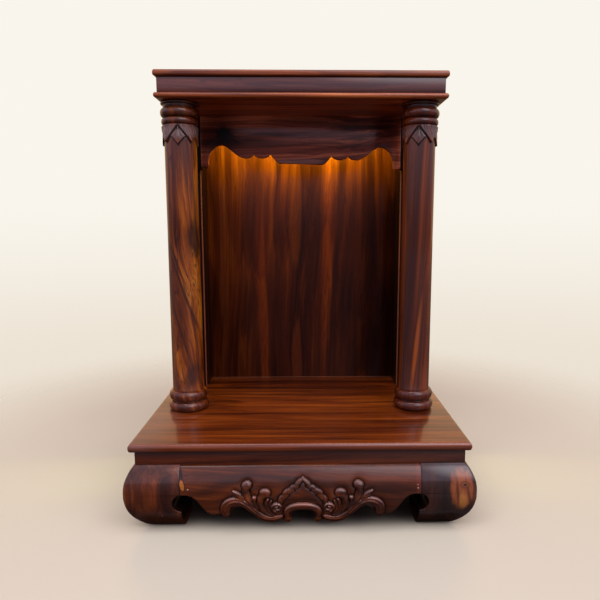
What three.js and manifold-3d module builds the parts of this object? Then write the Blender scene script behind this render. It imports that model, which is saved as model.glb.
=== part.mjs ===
// Household altar cabinet in varnished rosewood: a low stand on four curled feet, a deck, two turned
// columns with a leaf collar, a back panel with two short side panels, a scalloped valance and a box roof.
// Millimetres, +Z up. The origin is on the floor under the middle of the stand, and the front faces -Y.
import * as THREE from 'three';
import { mergeVertices } from 'three/addons/utils/BufferGeometryUtils.js';
import Module from 'manifold-3d';

const wasm = await Module();
wasm.setup();

// Stand
const deckHalfWidth = 240;
const deckHalfDepth = 178;
const deckThickness = 12.5;
const deckTop = 131.5;
const deckNose = 4.2;          // how far the rounded edge falls back at its top and bottom
const clearDeck = { halfWidth: 150, front: -170, back: 146 };   // where offerings and statues stand
const waistInset = 7.4;
const waistThickness = 14;
const apronTop = 99.3;
const jointX = 169;            // where an apron meets a foot, from the middle of the stand
const depthLess = deckHalfWidth - deckHalfDepth;
const apronBack = 207;         // flat inner face of an apron, from the middle across the width
const beyondStand = 260;       // clear of the whole stand, for cutters
// Outer face of feet and aprons across the width: [distance from the middle, height]
const bulge = [[214, 0], [219, 2], [224.8, 7], [232, 15.5], [238.3, 25], [242.9, 35], [245.6, 45],
  [247, 54.5], [247.1, 65], [245.8, 75.5], [242.8, 84.5], [237.9, 94], [233.2, apronTop]];

// Foot: a hook cut in above a straight toe
const hook = { x: 166, z: 46.6, radius: 13.6, end: -84 };
const toeInner = 167.4;

// Columns
const columnX = 186;
const columnY = -21.6;
const columnHeight = 486;
const shaftRadius = { foot: 25.2, top: 24.5 };
const columnTurn = { left: 3.8, right: -14.5 };   // degrees that each leaf collar is turned from square
const columnSides = 30;
// Turned rings: widest radius, how far they bulge, and where they begin and end
const baseRings = [{ radius: 32.4, bulge: 6.4, low: 0, high: 15.6 }, { radius: 31, bulge: 5.4, low: 16.4, high: 33 }];
// The same for the capital, as drops below the roof
const capitalRings = {
  thin: { radius: 28.2, bulge: 2.8, low: 34.2, high: 24.8 },
  large: { radius: 29.5, bulge: 4.8, low: 23.4, high: 9.4 },
  neck: { radius: 25.4, low: 8.6, high: 5 },
  top: { radius: 28.6, bulge: 2, low: 4.8, high: 0 },
};
const petal = { top: 36.7, tip: 62, outer: 27.6, flare: 28.6, inner: 20 };
const rearLeaf = { top: 41.7, wide: 53, tip: 66.5, halfWidth: 12.4, outer: 26, flare: 27.8, inner: 20 };

// Niche and roof
const roofX = 2.4;             // the roof sits a little right of the stand
const roofHalfWidth = 218.6;
const roofFront = -60;
const roofBack = 172;
const lowerSlab = { thickness: 8, nose: 3.6 };
const frieze = { inset: 4.6, height: 22.5, thickness: 12 };
// Edge of the roof's top board: [outwards, height over its underside]
const upperEdge = [[-4.6, 0], [-2.2, 0.5], [-0.6, 1.6], [0, 3.2], [0, 5.4], [-0.5, 7.4], [-1.8, 9.3]];
const backPanel = { front: 150, thickness: 10 };
const sidePanel = { inner: 177, thickness: 12, front: 93 };
const valance = { front: 77, thickness: 9, halfWidth: 173.5, lean: 1.4, leanFrom: 50 };
const cleat = { front: 81, drop: 91 };

// Carving on the front apron, right half: strokes as [x, z, half width] along a centre line, and a height.
const carvingX = 2.8;          // the carving's middle sits a little right of the stand's
const strokes = [
  { height: 4.2, line: [[33.2, 22, 3.6], [47.5, 17.6, 4.9], [60.3, 23.4, 4.6], [72.7, 35.4, 4.4],
    [83.2, 45, 4.6], [93.9, 50.4, 5], [104.3, 47.4, 6], [109.6, 38.8, 6.2], [109.2, 29, 5.4]] },
  { height: 4, line: [[0, 42, 4.7], [8.9, 41.6, 4.7], [17.9, 38.2, 4.6], [22.8, 29.3, 4.4], [21.8, 20.1, 4.8]] },
  { height: 3.6, line: [[68, 35, 2], [73, 47, 3.8], [78, 58, 4.8], [79.2, 67, 4.6], [78.4, 73.2, 5.6]] },
  { height: 3.6, line: [[47, 26, 2.4], [55, 36, 4], [59.4, 48, 4.6], [57.4, 57.6, 4.6], [52.6, 62.6, 6]] },
  { height: 3, line: [[61.7, 33, 2], [65.8, 43.8, 2.4], [67.7, 54.3, 3.3]] },
  { height: 3.2, line: [[83, 51.4, 2.6], [88.6, 58.8, 4.2], [94.8, 65, 2]] },
  { height: 2.6, line: [[42.6, 26, 2.4], [48, 37, 4], [46.6, 51.4, 3]] },
  { height: 2.8, line: [[35.2, 49.6, 2.4], [30.6, 57, 3.6], [24.6, 63.4, 3.6], [16.6, 69.6, 3]] },
];
const volute = { x: 35.7, z: 41.4, radius: 8.4, eye: 3.4, height: 4.4 };
const cartouche = { height: 2.2, edge: [[0, 83.8], [3.4, 80], [9.4, 75.9], [10.4, 72.1], [17.1, 71.3],
  [19.7, 66.7], [26.6, 62.3], [29.2, 56.8], [33.6, 52.2], [33.8, 37], [17.9, 37], [0, 37]] };

// Lower edge of the front apron, right half, out to the end of the carving: [from the carving's middle, z]
const carvedEdge = [[0, 34.4], [8, 34.1], [12.6, 32.5], [15.7, 28.1], [16.6, 21.6], [16.7, 16.6], [18.4, 10.2],
  [21.8, 6.7], [25.4, 9], [27.9, 15.2], [31, 14.1], [35.2, 10.2], [41.1, 6.8], [47.3, 5.8], [54.4, 8.2],
  [61.1, 14.5], [66.7, 21.6], [73.2, 30.3], [79.8, 38], [85.7, 41], [91.2, 41.3], [96.7, 39.2], [100.8, 33.8],
  [103.6, 26.8], [106.5, 21.5], [110.3, 19.7], [113.7, 22.5], [115.6, 27.6]];
// Lower edge of every apron near its foot, as it runs on the front: [from the stand's middle, z]
const plainEdge = [[119.6, 27.4], [123.6, 25.8], [127.6, 26.8], [132, 31], [137, 38], [142, 46], [147, 53],
  [152.5, 57.6], [159, 59.6], [jointX, 60]];
const bellyHeight = 36;        // lower edge of an uncarved apron along its middle

const palette = {
  deck: 0x6e2d12, stand: 0x4a1f12, foot: 0x5a2712, column: 0x7a3a18, panel: 0x5e2a12, valance: 0x40201a,
  frieze: 0x4a2c2e, slab: 0x8a4c28,
};

function varnished(color) {
  return new THREE.MeshStandardMaterial({ color, roughness: 0.32, metalness: 0 });
}

function solidOf(geometry) {
  const bare = geometry.index ? geometry.toNonIndexed() : geometry.clone();
  bare.deleteAttribute('normal');
  bare.deleteAttribute('uv');
  const merged = mergeVertices(bare, 1e-4);
  return new wasm.Manifold(new wasm.Mesh({
    numProp: 3,
    vertProperties: new Float32Array(merged.attributes.position.array),
    triVerts: new Uint32Array(merged.index.array),
  }));
}

function geometryOf(solid) {
  const mesh = solid.getMesh();
  const geometry = new THREE.BufferGeometry();
  geometry.setAttribute('position', new THREE.BufferAttribute(new Float32Array(mesh.vertProperties), 3));
  geometry.setIndex(new THREE.BufferAttribute(new Uint32Array(mesh.triVerts), 1));
  return geometry;
}

function shapeOf(points) {
  return new THREE.Shape(points.map(([a, b]) => new THREE.Vector2(a, b)));
}

// Flat outline [x, z] drawn through from the front, between two depths.
function throughY(points, nearY, farY) {
  const geometry = new THREE.ExtrudeGeometry(shapeOf(points), { depth: farY - nearY, bevelEnabled: false });
  geometry.rotateX(Math.PI / 2);
  geometry.translate(0, farY, 0);
  return solidOf(geometry);
}

// Flat outline [y, z] drawn along the width.
function alongX(points, leftX, rightX) {
  const geometry = new THREE.ExtrudeGeometry(shapeOf(points), { depth: rightX - leftX, bevelEnabled: false });
  geometry.applyMatrix4(new THREE.Matrix4().set(0, 0, 1, leftX, 1, 0, 0, 0, 0, 1, 0, 0, 0, 0, 0, 1));
  return solidOf(geometry);
}

function boxBetween(x0, x1, y0, y1, z0, z1) {
  const geometry = new THREE.BoxGeometry(x1 - x0, y1 - y0, z1 - z0);
  geometry.translate((x0 + x1) / 2, (y0 + y1) / 2, (z0 + z1) / 2);
  return geometry;
}

const mirrored = (half) => [...half, ...half.filter(([a]) => a !== 0).map(([a, b]) => [-a, b]).reverse()];
const moved = (points, by) => points.map(([a, b]) => [a + by, b]);
const flipped = (points) => points.map(([a, b]) => [-a, b]).reverse();
const bothSides = (half) => [...flipped(half.filter(([a]) => a !== 0)), ...half];

// Half-round or part-round run of points on an ellipse, angles in degrees.
function arc(cx, cy, rx, ry, from, to, steps) {
  const points = [];
  for (let i = 0; i <= steps; i += 1) {
    const angle = THREE.MathUtils.degToRad(from + ((to - from) * i) / steps);
    points.push([cx + rx * Math.cos(angle), cy + ry * Math.sin(angle)]);
  }
  return points;
}

function ringOf(halfWidth, frontY, backY, z) {
  return [[-halfWidth, frontY, z], [halfWidth, frontY, z], [halfWidth, backY, z], [-halfWidth, backY, z]];
}

// Board with one edge profile all round and mitred corners, as [out from the edge, z] from below upwards.
// `rest` is a rectangle drawn on the top face, where things stand.
function mouldedBoard(edge, halfWidth, frontY, backY, rest) {
  const rings = edge.map(([out, z]) => ringOf(halfWidth + out, frontY - out, backY + out, z));
  const corners = rings.flat();
  const faces = [[2, 1, 0], [3, 2, 0]];
  for (let ring = 1; ring < rings.length; ring += 1) {
    for (let corner = 0; corner < 4; corner += 1) {
      const low = 4 * (ring - 1) + corner;
      const next = 4 * (ring - 1) + ((corner + 1) % 4);
      faces.push([low, next, next + 4], [low, next + 4, low + 4]);
    }
  }
  const first = corners.length - 4;
  const topZ = corners[first][2];
  if (rest) {
    corners.push(...ringOf(rest.halfWidth, rest.front, rest.back, topZ));
    const flat = corners.slice(first).map(([x, y]) => new THREE.Vector2(x, y));
    const border = THREE.ShapeUtils.triangulateShape(flat.slice(0, 4), [flat.slice(4)]);
    faces.push(...border.map((face) => face.map((corner) => corner + first)));
  }
  const last = corners.length - 4;
  faces.push([last, last + 1, last + 2], [last, last + 2, last + 3]);
  const geometry = new THREE.BufferGeometry();
  geometry.setAttribute('position', new THREE.Float32BufferAttribute(corners.flat(), 3));
  geometry.setIndex(faces.flat());
  return geometry;
}

const noseSteps = 6;
const nosing = (zLow, zHigh, nose) => arc(-nose, (zLow + zHigh) / 2, nose, (zHigh - zLow) / 2, -90, 90, noseSteps);

// ---- Stand ----

function deck() {
  const edge = nosing(deckTop - deckThickness, deckTop, deckNose);
  return mouldedBoard(edge, deckHalfWidth, -deckHalfDepth, deckHalfDepth, clearDeck);
}

const waistX = deckHalfWidth - waistInset;
const waistY = deckHalfDepth - waistInset;

function waistBoards() {
  const z = [apronTop, deckTop - deckThickness];
  const innerX = waistX - waistThickness;
  return {
    waist_front: boxBetween(-waistX, waistX, -waistY, -waistY + waistThickness, ...z),
    waist_back: boxBetween(-waistX, waistX, waistY - waistThickness, waistY, ...z),
    waist_left: boxBetween(-waistX, -innerX, -waistY + waistThickness, waistY - waistThickness, ...z),
    waist_right: boxBetween(innerX, waistX, -waistY + waistThickness, waistY - waistThickness, ...z),
  };
}

// Section of an apron across its thickness, proud of the plain bulge by `proud` where it is carved.
function apronSection(proud) {
  const face = bulge.map(([x, z]) => [x - depthLess + proud, z]);
  const inner = apronBack - depthLess;
  return [[inner, 0], ...face, [inner, apronTop]];
}

const hookStart = THREE.MathUtils.radToDeg(Math.acos((jointX - hook.x) / hook.radius));
const hookTop = hook.z + hook.radius * Math.sin(THREE.MathUtils.degToRad(hookStart));
const footOutline = [
  ...bulge, [jointX, apronTop], [jointX, hookTop],
  ...arc(hook.x, hook.z, hook.radius, hook.radius, hookStart, hook.end, 12).slice(1),
  [toeInner, 0],
];

function foot(sideX, sideY) {
  const front = sideX > 0 ? footOutline : flipped(footOutline);
  const across = moved(footOutline, -depthLess);
  const side = sideY > 0 ? across : flipped(across);
  const near = toeInner - depthLess - 10;
  const depth = sideY > 0 ? [near, beyondStand] : [-beyondStand, -near];
  const width = sideX > 0 ? [near, beyondStand] : [-beyondStand, -near];
  return geometryOf(throughY(front, ...depth).intersect(alongX(side, ...width)));
}

// Closed outline of a tapering stroke with round ends, along a smooth line through [x, z, half width].
function strokeOutline(line) {
  const curve = new THREE.CatmullRomCurve3(line.map(([x, z, w]) => new THREE.Vector3(x, z, w)));
  const steps = (line.length - 1) * 2;
  const left = [];
  const right = [];
  for (let i = 0; i <= steps; i += 1) {
    const p = curve.getPoint(i / steps);
    const t = curve.getTangent(i / steps);
    const length = Math.hypot(t.x, t.y);
    const nx = -t.y / length;
    const nz = t.x / length;
    left.push([p.x + nx * p.z, p.y + nz * p.z]);
    right.push([p.x - nx * p.z, p.y - nz * p.z]);
    if (i === steps) {
      const tip = 0.72 * p.z;
      left.push([p.x + (t.x / length) * tip + nx * tip * 0.8, p.y + (t.y / length) * tip + nz * tip * 0.8]);
      right.push([p.x + (t.x / length) * tip - nx * tip * 0.8, p.y + (t.y / length) * tip - nz * tip * 0.8]);
    }
  }
  return [...right, ...left.reverse()];
}

// Everything between the inner face and the apron face raised by `height`, inside a drawn outline.
function raised(outline, height) {
  const inner = apronBack - depthLess;
  const skin = alongX(flipped(apronSection(height)), -jointX + 1, jointX - 1);
  return throughY(moved(outline, carvingX), -beyondStand, -inner - 2).intersect(skin);
}

function carving() {
  const parts = [raised(mirrored(cartouche.edge), cartouche.height)];
  for (const stroke of strokes) {
    const outline = strokeOutline(stroke.line);
    parts.push(raised(outline, stroke.height), raised(flipped(outline), stroke.height));
  }
  for (const side of [1, -1]) {
    const ring = arc(side * volute.x, volute.z, volute.radius, volute.radius, 24, 360, 14);
    const eye = arc(side * volute.x, volute.z, volute.eye, volute.eye, 45, 360, 7);
    parts.push(raised(ring, volute.height - 1.4), raised(eye, volute.height + 0.8));
  }
  return parts;
}

function apronFront() {
  const carved = moved(bothSides(carvedEdge), carvingX);
  const outline = [[-jointX, apronTop], ...flipped(plainEdge), ...carved, ...plainEdge, [jointX, apronTop]];
  const inner = apronBack - depthLess;
  const board = alongX(flipped(apronSection(0)), -jointX, jointX);
  const silhouette = throughY(outline, -beyondStand, -inner + 1);
  let solid = board.intersect(silhouette);
  for (const part of carving()) {
    solid = solid.add(part);
  }
  return geometryOf(solid);
}

// Uncarved apron with one shallow ogee along its lower edge, for the sides and the back.
function plainApron(halfLength) {
  const fall = halfLength - jointX;
  const from = halfLength - 66;
  const belly = [[0, bellyHeight], [from, bellyHeight], [from + 7, bellyHeight - 2.4], [from + 12, bellyHeight - 5.6]];
  const lower = bothSides([...belly, ...moved(plainEdge, fall)]);
  return [[-halfLength, apronTop], ...lower, [halfLength, apronTop]];
}

function apronBackBoard() {
  const inner = apronBack - depthLess;
  const board = alongX(apronSection(0), -jointX, jointX);
  return geometryOf(board.intersect(throughY(plainApron(jointX), inner - 1, beyondStand)));
}

function apronSide(side) {
  const halfLength = jointX - depthLess;
  const face = [[apronBack, 0], ...bulge, [apronBack, apronTop]];
  const section = side > 0 ? face : flipped(face);
  const board = throughY(section, -halfLength, halfLength);
  const reach = side > 0 ? [apronBack - 1, beyondStand] : [-beyondStand, -apronBack + 1];
  return geometryOf(board.intersect(alongX(plainApron(halfLength), ...reach)));
}

// ---- Columns ----

function columnProfile() {
  const roof = columnHeight;
  const swell = (ring, low, high, steps) => arc(ring.radius - ring.bulge, (low + high) / 2, ring.bulge,
    (high - low) / 2, -90, 90, steps);
  const hung = (ring, steps) => swell(ring, roof - ring.low, roof - ring.high, steps);
  const { thin, large, neck, top } = capitalRings;
  return [
    [0, 0],
    ...baseRings.flatMap((ring) => swell(ring, ring.low, ring.high, 5)),
    [shaftRadius.foot, baseRings[1].high + 1],
    [shaftRadius.top, roof - rearLeaf.tip - 10],
    [shaftRadius.top, roof - petal.top],
    ...hung(thin, 3),
    ...hung(large, 5),
    [neck.radius, roof - neck.low], [neck.radius, roof - neck.high],
    ...hung(top, 3),
    [0, roof],
  ];
}

function turned(profile, sides) {
  const geometry = new THREE.LatheGeometry(profile.map(([r, z]) => new THREE.Vector2(r, z)), sides);
  geometry.rotateX(Math.PI / 2);
  return solidOf(geometry);
}

// One leaf: a ring with a flaring face, cut to an outline drawn outwards from the axis.
function leaf(size, top, outline, angle) {
  const low = columnHeight - size.tip - 1;
  const high = columnHeight - top;
  const ring = turned([[size.inner, low], [size.flare, low], [size.outer, high], [size.inner, high],
    [size.inner, low]], columnSides);
  const cutter = throughY(outline, -40, 0).rotate([0, 0, angle]);
  return ring.intersect(cutter);
}

function column() {
  let solid = turned(columnProfile(), columnSides);
  const at = (drop) => columnHeight - drop;
  const petalOutline = mirrored([[0, at(petal.tip)], [4, at(petal.tip - 3.2)], [10, at(petal.tip - 10)],
    [15.6, at(petal.tip - 17.5)], [19.4, at(petal.top)]]);
  const leafOutline = mirrored([[0, at(rearLeaf.tip)], [3.6, at(rearLeaf.tip - 4.6)],
    [rearLeaf.halfWidth, at(rearLeaf.wide)], [5, at(rearLeaf.top)]]);
  for (let quarter = 0; quarter < 4; quarter += 1) {
    solid = solid.add(leaf(rearLeaf, rearLeaf.top, leafOutline, quarter * 90));
    solid = solid.add(leaf(petal, petal.top, petalOutline, quarter * 90 + 45));
  }
  return geometryOf(solid);
}

// ---- Niche and roof ----

const roofUnder = deckTop + columnHeight;

// Lower edge of the valance, right half, as heights below the roof board. It hangs lower to the right.
function valanceOutline() {
  const scallop = (from, to, cusp, fall) => arc((from + to) / 2, cusp, (to - from) / 2, fall, 180, 0, 6);
  const drops = [
    [0, 81.4], [36, 81.4], [40, 80.8], [45, 76.4], [50, 70.6], [54.4, 66.3],
    ...scallop(54.4, 81.4, 66.3, 6.8).slice(1),
    [86, 70.6], [91, 72.7], [97.8, 73.2], [104, 71.8], [112.7, 67.2], [118.5, 62.6], [124.3, 57.8], [130, 53.8],
    [136.5, 51.4], [143, 52], [149, 55], [154.7, 60.6], [158, 66.5], [159.8, 72], [160.8, 80], [162.6, 88],
    [165.4, 88.6], [171.5, 88.6], [valance.halfWidth, 86.6],
  ];
  const low = bothSides(drops.map(([x, drop]) => [x, roofUnder - drop]));
  const leaning = low.map(([x, z]) => [x, z - valance.lean * THREE.MathUtils.clamp(x / valance.leanFrom, -1, 1)]);
  return [[-valance.halfWidth, roofUnder], ...leaning, [valance.halfWidth, roofUnder]];
}

function roofParts() {
  const low = roofUnder + lowerSlab.thickness;
  const high = low + frieze.height;
  const x = roofHalfWidth - frieze.inset;
  const y0 = roofFront + frieze.inset;
  const y1 = roofBack - frieze.inset;
  const t = frieze.thickness;
  return {
    roof_board: mouldedBoard(nosing(roofUnder, low, lowerSlab.nose), roofHalfWidth, roofFront, roofBack),
    frieze_front: boxBetween(-x, x, y0, y0 + t, low, high),
    frieze_back: boxBetween(-x, x, y1 - t, y1, low, high),
    frieze_left: boxBetween(-x, -x + t, y0 + t, y1 - t, low, high),
    frieze_right: boxBetween(x - t, x, y0 + t, y1 - t, low, high),
    roof_top: mouldedBoard(upperEdge.map(([out, up]) => [out, high + up]), roofHalfWidth, roofFront, roofBack),
  };
}

function nicheParts() {
  const { front, thickness } = backPanel;
  const inner = sidePanel.inner;
  const outer = inner + sidePanel.thickness;
  const cleatZ = [roofUnder - cleat.drop, roofUnder];
  const cleatY = [cleat.front, sidePanel.front];
  return {
    back_panel: boxBetween(-outer, outer, front, front + thickness, deckTop, roofUnder),
    side_panel_left: boxBetween(-outer, -inner, sidePanel.front, front, deckTop, roofUnder),
    side_panel_right: boxBetween(inner, outer, sidePanel.front, front, deckTop, roofUnder),
    valance: geometryOf(throughY(valanceOutline(), valance.front, valance.front + valance.thickness)),
    cleat_left: boxBetween(-outer, -valance.halfWidth, ...cleatY, ...cleatZ),
    cleat_right: boxBetween(valance.halfWidth, outer, ...cleatY, ...cleatZ),
  };
}

// ---- Assembly ----

const cabinet = new THREE.Group();

function place(name, geometry, color) {
  const mesh = new THREE.Mesh(geometry, varnished(color));
  mesh.name = name;
  cabinet.add(mesh);
  return mesh;
}

place('deck', deck(), palette.deck);
for (const [name, board] of Object.entries(waistBoards())) {
  place(name, board, palette.stand);
}
place('apron_front', apronFront(), palette.stand);
place('apron_back', apronBackBoard(), palette.stand);
place('apron_left', apronSide(-1), palette.stand);
place('apron_right', apronSide(1), palette.stand);
for (const [sideName, sideX] of [['left', -1], ['right', 1]]) {
  place(`foot_front_${sideName}`, foot(sideX, -1), palette.foot);
  place(`foot_back_${sideName}`, foot(sideX, 1), palette.foot);
  const post = place(`column_${sideName}`, column(), palette.column);
  post.position.set(sideX * columnX, columnY, deckTop);
  post.rotation.z = THREE.MathUtils.degToRad(columnTurn[sideName]);
}
for (const [name, board] of Object.entries(nicheParts())) {
  place(name, board, name === 'valance' ? palette.valance : palette.panel);
}
for (const [name, board] of Object.entries(roofParts())) {
  place(name, board, name.startsWith('frieze') ? palette.frieze : palette.slab).position.x = roofX;
}

export default cabinet;
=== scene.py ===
import math

import bmesh
import bpy
import numpy as np
from mathutils import Matrix, Vector


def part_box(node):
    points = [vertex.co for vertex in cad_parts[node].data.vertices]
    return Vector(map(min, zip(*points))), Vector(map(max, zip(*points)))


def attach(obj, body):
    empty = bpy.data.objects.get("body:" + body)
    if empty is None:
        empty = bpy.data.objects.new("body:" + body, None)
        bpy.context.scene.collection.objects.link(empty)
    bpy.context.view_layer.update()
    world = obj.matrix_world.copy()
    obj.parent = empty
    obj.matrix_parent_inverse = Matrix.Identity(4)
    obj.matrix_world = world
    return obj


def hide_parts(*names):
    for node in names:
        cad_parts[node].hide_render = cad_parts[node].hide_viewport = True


# Household altar cabinet in varnished rosewood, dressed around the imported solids.
# Lengths in the dictionaries are millimetres, with z from the floor and the front facing -Y.

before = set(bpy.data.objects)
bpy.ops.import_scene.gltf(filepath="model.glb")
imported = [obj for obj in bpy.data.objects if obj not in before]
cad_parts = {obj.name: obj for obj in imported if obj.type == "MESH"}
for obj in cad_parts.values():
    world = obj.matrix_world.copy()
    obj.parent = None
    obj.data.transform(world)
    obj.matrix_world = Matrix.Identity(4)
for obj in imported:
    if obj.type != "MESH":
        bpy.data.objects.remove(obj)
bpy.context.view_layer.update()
mm = 0.001


def boxOf(node):
    low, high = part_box(node)
    return Vector(low), Vector(high)


# The camera stands where the visitor does, a little to the right of the middle.
view = {"x": 7.0, "y": -902.0, "z": 437.5, "down": 8.19, "turn": -0.95, "lens": 32.88, "shift": -0.0239}

camera = bpy.data.objects.new("camera", bpy.data.cameras.new("camera"))
bpy.context.collection.objects.link(camera)
camera.location = (view["x"] * mm, view["y"] * mm, view["z"] * mm)
camera.rotation_euler = (math.radians(90 - view["down"]), 0, math.radians(view["turn"]))
camera.data.lens = view["lens"]
camera.data.sensor_width = 36
camera.data.shift_x = view["shift"]
bpy.context.scene.camera = camera
bpy.context.scene.view_settings.view_transform = "Standard"


def srgb(r, g, b):
    return tuple(((v / 255 + 0.055) / 1.055) ** 2.4 if v > 10 else v / 255 / 12.92 for v in (r, g, b))


# Nodes are added and linked through these, so that each material reads from top to bottom.

class NodeSheet:
    def __init__(self, tree):
        self.tree = tree

    def add(self, kind, **settings):
        node = self.tree.nodes.new(kind)
        for key, value in settings.items():
            setattr(node, key, value)
        return node

    def feed(self, socket, value):
        if isinstance(value, bpy.types.NodeSocket):
            self.tree.links.new(value, socket)
        elif value is not None:
            if socket.type == "RGBA" and len(value) == 3:
                value = (*value, 1)
            socket.default_value = value

    def math(self, operation, a, b=None, clamp=False):
        node = self.add("ShaderNodeMath", operation=operation, use_clamp=clamp)
        self.feed(node.inputs[0], a)
        self.feed(node.inputs[1], b)
        return node.outputs[0]

    def vector(self, operation, a, b=None):
        node = self.add("ShaderNodeVectorMath", operation=operation)
        self.feed(node.inputs[0], a)
        self.feed(node.inputs[1], b)
        return node.outputs[1] if operation in ("LENGTH", "DISTANCE", "DOT_PRODUCT") else node.outputs[0]

    def scale(self, a, factor):
        node = self.add("ShaderNodeVectorMath", operation="SCALE")
        self.feed(node.inputs[0], a)
        self.feed(node.inputs["Scale"], factor)
        return node.outputs[0]

    def noise(self, vector, detail=3.0, rough=0.55, distortion=0.0, color=False):
        node = self.add("ShaderNodeTexNoise")
        self.feed(node.inputs["Vector"], vector)
        node.inputs["Scale"].default_value = 1.0
        node.inputs["Detail"].default_value = detail
        node.inputs["Roughness"].default_value = rough
        node.inputs["Distortion"].default_value = distortion
        return node.outputs["Color" if color else "Fac"]

    def spread(self, value, low, high, toLow=0.0, toHigh=1.0, smooth=True):
        node = self.add("ShaderNodeMapRange", clamp=True)
        node.interpolation_type = "SMOOTHSTEP" if smooth else "LINEAR"
        for socket, number in zip(node.inputs, (value, low, high, toLow, toHigh)):
            self.feed(socket, number)
        return node.outputs[0]

    def mix(self, factor, a, b, blend="MIX"):
        node = self.add("ShaderNodeMix", data_type="RGBA", blend_type=blend)
        self.feed(node.inputs[0], factor)
        self.feed(node.inputs[6], a)
        self.feed(node.inputs[7], b)
        return node.outputs[2]

    def ramp(self, value, stops):
        node = self.add("ShaderNodeValToRGB")
        elements = node.color_ramp.elements
        while len(elements) < len(stops):
            elements.new(0.5)
        for element, (place, color) in zip(elements, stops):
            element.position = place
            element.color = (*color, 1)
        self.feed(node.inputs[0], value)
        return node.outputs[0]


# A pale room: a bright wall behind, soft daylight high in front, little light from below, and a painted
# shadow on the floor under the cabinet.
room = {
    "backdrop": srgb(249, 245, 236), "backdropLow": srgb(236, 226, 211), "backdropRise": (-0.25, 0.05),
    "floor": srgb(199, 191, 174), "floorUnseen": srgb(38, 31, 26), "floorSize": 9.0, "floorRough": 0.28,
    "fade": (0.5, 1.1), "floorShade": srgb(74, 68, 62), "shadeHalf": (0.2, 0.15, 0.0),
    "shadeEdge": (-0.02, 0.03), "above": srgb(200, 194, 218), "below": srgb(38, 31, 26),
    "horizon": (-0.06, 0.2), "behind": srgb(196, 162, 128), "wallUnseen": srgb(96, 84, 72),
    "wallEdge": (0.1, 0.5), "shine": 1.8,
    "window": (0.38, -0.67, 0.64), "windowLight": (2.3, 2.1, 2.2), "windowEdge": (0.88, 1.0),
}
lamps = [
    {"name": "windowSoft", "at": (-0.8, -1.7, 2.3), "aim": (0, 0, 0.25), "size": (1.8, 1.2), "power": 36,
     "color": (1.0, 0.98, 0.96), "seen": False},
    {"name": "sideSoft", "at": (1.6, -1.4, 1.7), "aim": (0, 0, 0.2), "size": (1.3, 1.2), "power": 15,
     "color": (1.0, 0.97, 0.94), "seen": False},
    {"name": "ceilingSoft", "at": (0.1, -0.62, 2.5), "aim": (0, -0.2, 0), "size": (2.2, 0.5), "power": 18,
     "color": (1.0, 0.97, 0.96), "seen": True},
    {"name": "nicheGlow", "at": (0.0, 0.112, 0.6), "aim": (0, 0.15, 0.5), "size": (0.29, 0.03), "power": 1.0,
     "color": (1.0, 1.04, 0.1), "seen": False},
]


def addLamp(lamp):
    data = bpy.data.lights.new(lamp["name"], "AREA")
    data.shape = "RECTANGLE"
    data.size, data.size_y = lamp["size"]
    data.energy = lamp["power"]
    data.color = lamp["color"]
    light = bpy.data.objects.new(lamp["name"], data)
    bpy.context.collection.objects.link(light)
    light.location = lamp["at"]
    light.visible_glossy = lamp["seen"]
    aim = Vector(lamp["aim"]) - Vector(lamp["at"])
    light.rotation_euler = aim.to_track_quat("-Z", "Y").to_euler()


def lightRoom():
    world = bpy.data.worlds.new("paleRoom")
    bpy.context.scene.world = world
    world.use_nodes = True
    sheet = NodeSheet(world.node_tree)
    way = sheet.add("ShaderNodeSeparateXYZ")
    direction = sheet.add("ShaderNodeTexCoord").outputs["Generated"]
    sheet.feed(way.inputs[0], direction)
    path = sheet.add("ShaderNodeLightPath").outputs
    color = sheet.mix(sheet.spread(way.outputs[2], *room["horizon"]), room["below"], room["above"])
    facing = sheet.vector("DOT_PRODUCT", direction, room["window"])
    color = sheet.mix(sheet.spread(facing, *room["windowEdge"]), color, room["windowLight"], "ADD")
    wall = sheet.mix(path["Is Glossy Ray"], room["wallUnseen"], room["behind"])
    color = sheet.mix(sheet.spread(way.outputs[1], *room["wallEdge"]), color, wall)
    rise = sheet.spread(way.outputs[2], *room["backdropRise"])
    backdrop = sheet.mix(rise, room["backdropLow"], room["backdrop"])
    background = world.node_tree.nodes["Background"]
    sheet.feed(background.inputs["Color"], sheet.mix(path["Is Camera Ray"], color, backdrop))
    strength = sheet.spread(path["Is Glossy Ray"], 0.0, 1.0, 1.0, room["shine"])
    sheet.feed(background.inputs["Strength"], strength)
    for lamp in lamps:
        addLamp(lamp)


def makeFloor():
    bm = bmesh.new()
    bmesh.ops.create_grid(bm, x_segments=1, y_segments=1, size=room["floorSize"])
    mesh = bpy.data.meshes.new("paleFloor")
    bm.to_mesh(mesh)
    bm.free()
    floor = bpy.data.objects.new("paleFloor", mesh)
    bpy.context.collection.objects.link(floor)
    material = bpy.data.materials.new("paleFloor")
    material.use_nodes = True
    sheet = NodeSheet(material.node_tree)
    shader = material.node_tree.nodes["Principled BSDF"]
    seen = sheet.add("ShaderNodeLightPath").outputs["Is Camera Ray"]
    coords = sheet.add("ShaderNodeTexCoord").outputs["Object"]
    # Painted shadow: the floor's colour is darker within a box under the cabinet, fading out at its edge.
    sides = sheet.add("ShaderNodeSeparateXYZ")
    sheet.feed(sides.inputs[0], sheet.vector("SUBTRACT", sheet.vector("ABSOLUTE", coords), room["shadeHalf"]))
    beyond = sheet.math("MAXIMUM", sides.outputs[0], sides.outputs[1])
    tone = sheet.mix(sheet.spread(beyond, *room["shadeEdge"]), room["floorShade"], room["floor"])
    sheet.feed(shader.inputs["Base Color"], sheet.mix(seen, room["floorUnseen"], tone))
    shader.inputs["Roughness"].default_value = room["floorRough"]
    fade = sheet.spread(sheet.vector("LENGTH", coords), *room["fade"])
    sheet.feed(shader.inputs["Alpha"], sheet.math("SUBTRACT", 1.0, sheet.math("MULTIPLY", fade, seen)))
    mesh.materials.append(material)


lightRoom()
makeFloor()
print("camera, light and floor ready")


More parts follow.
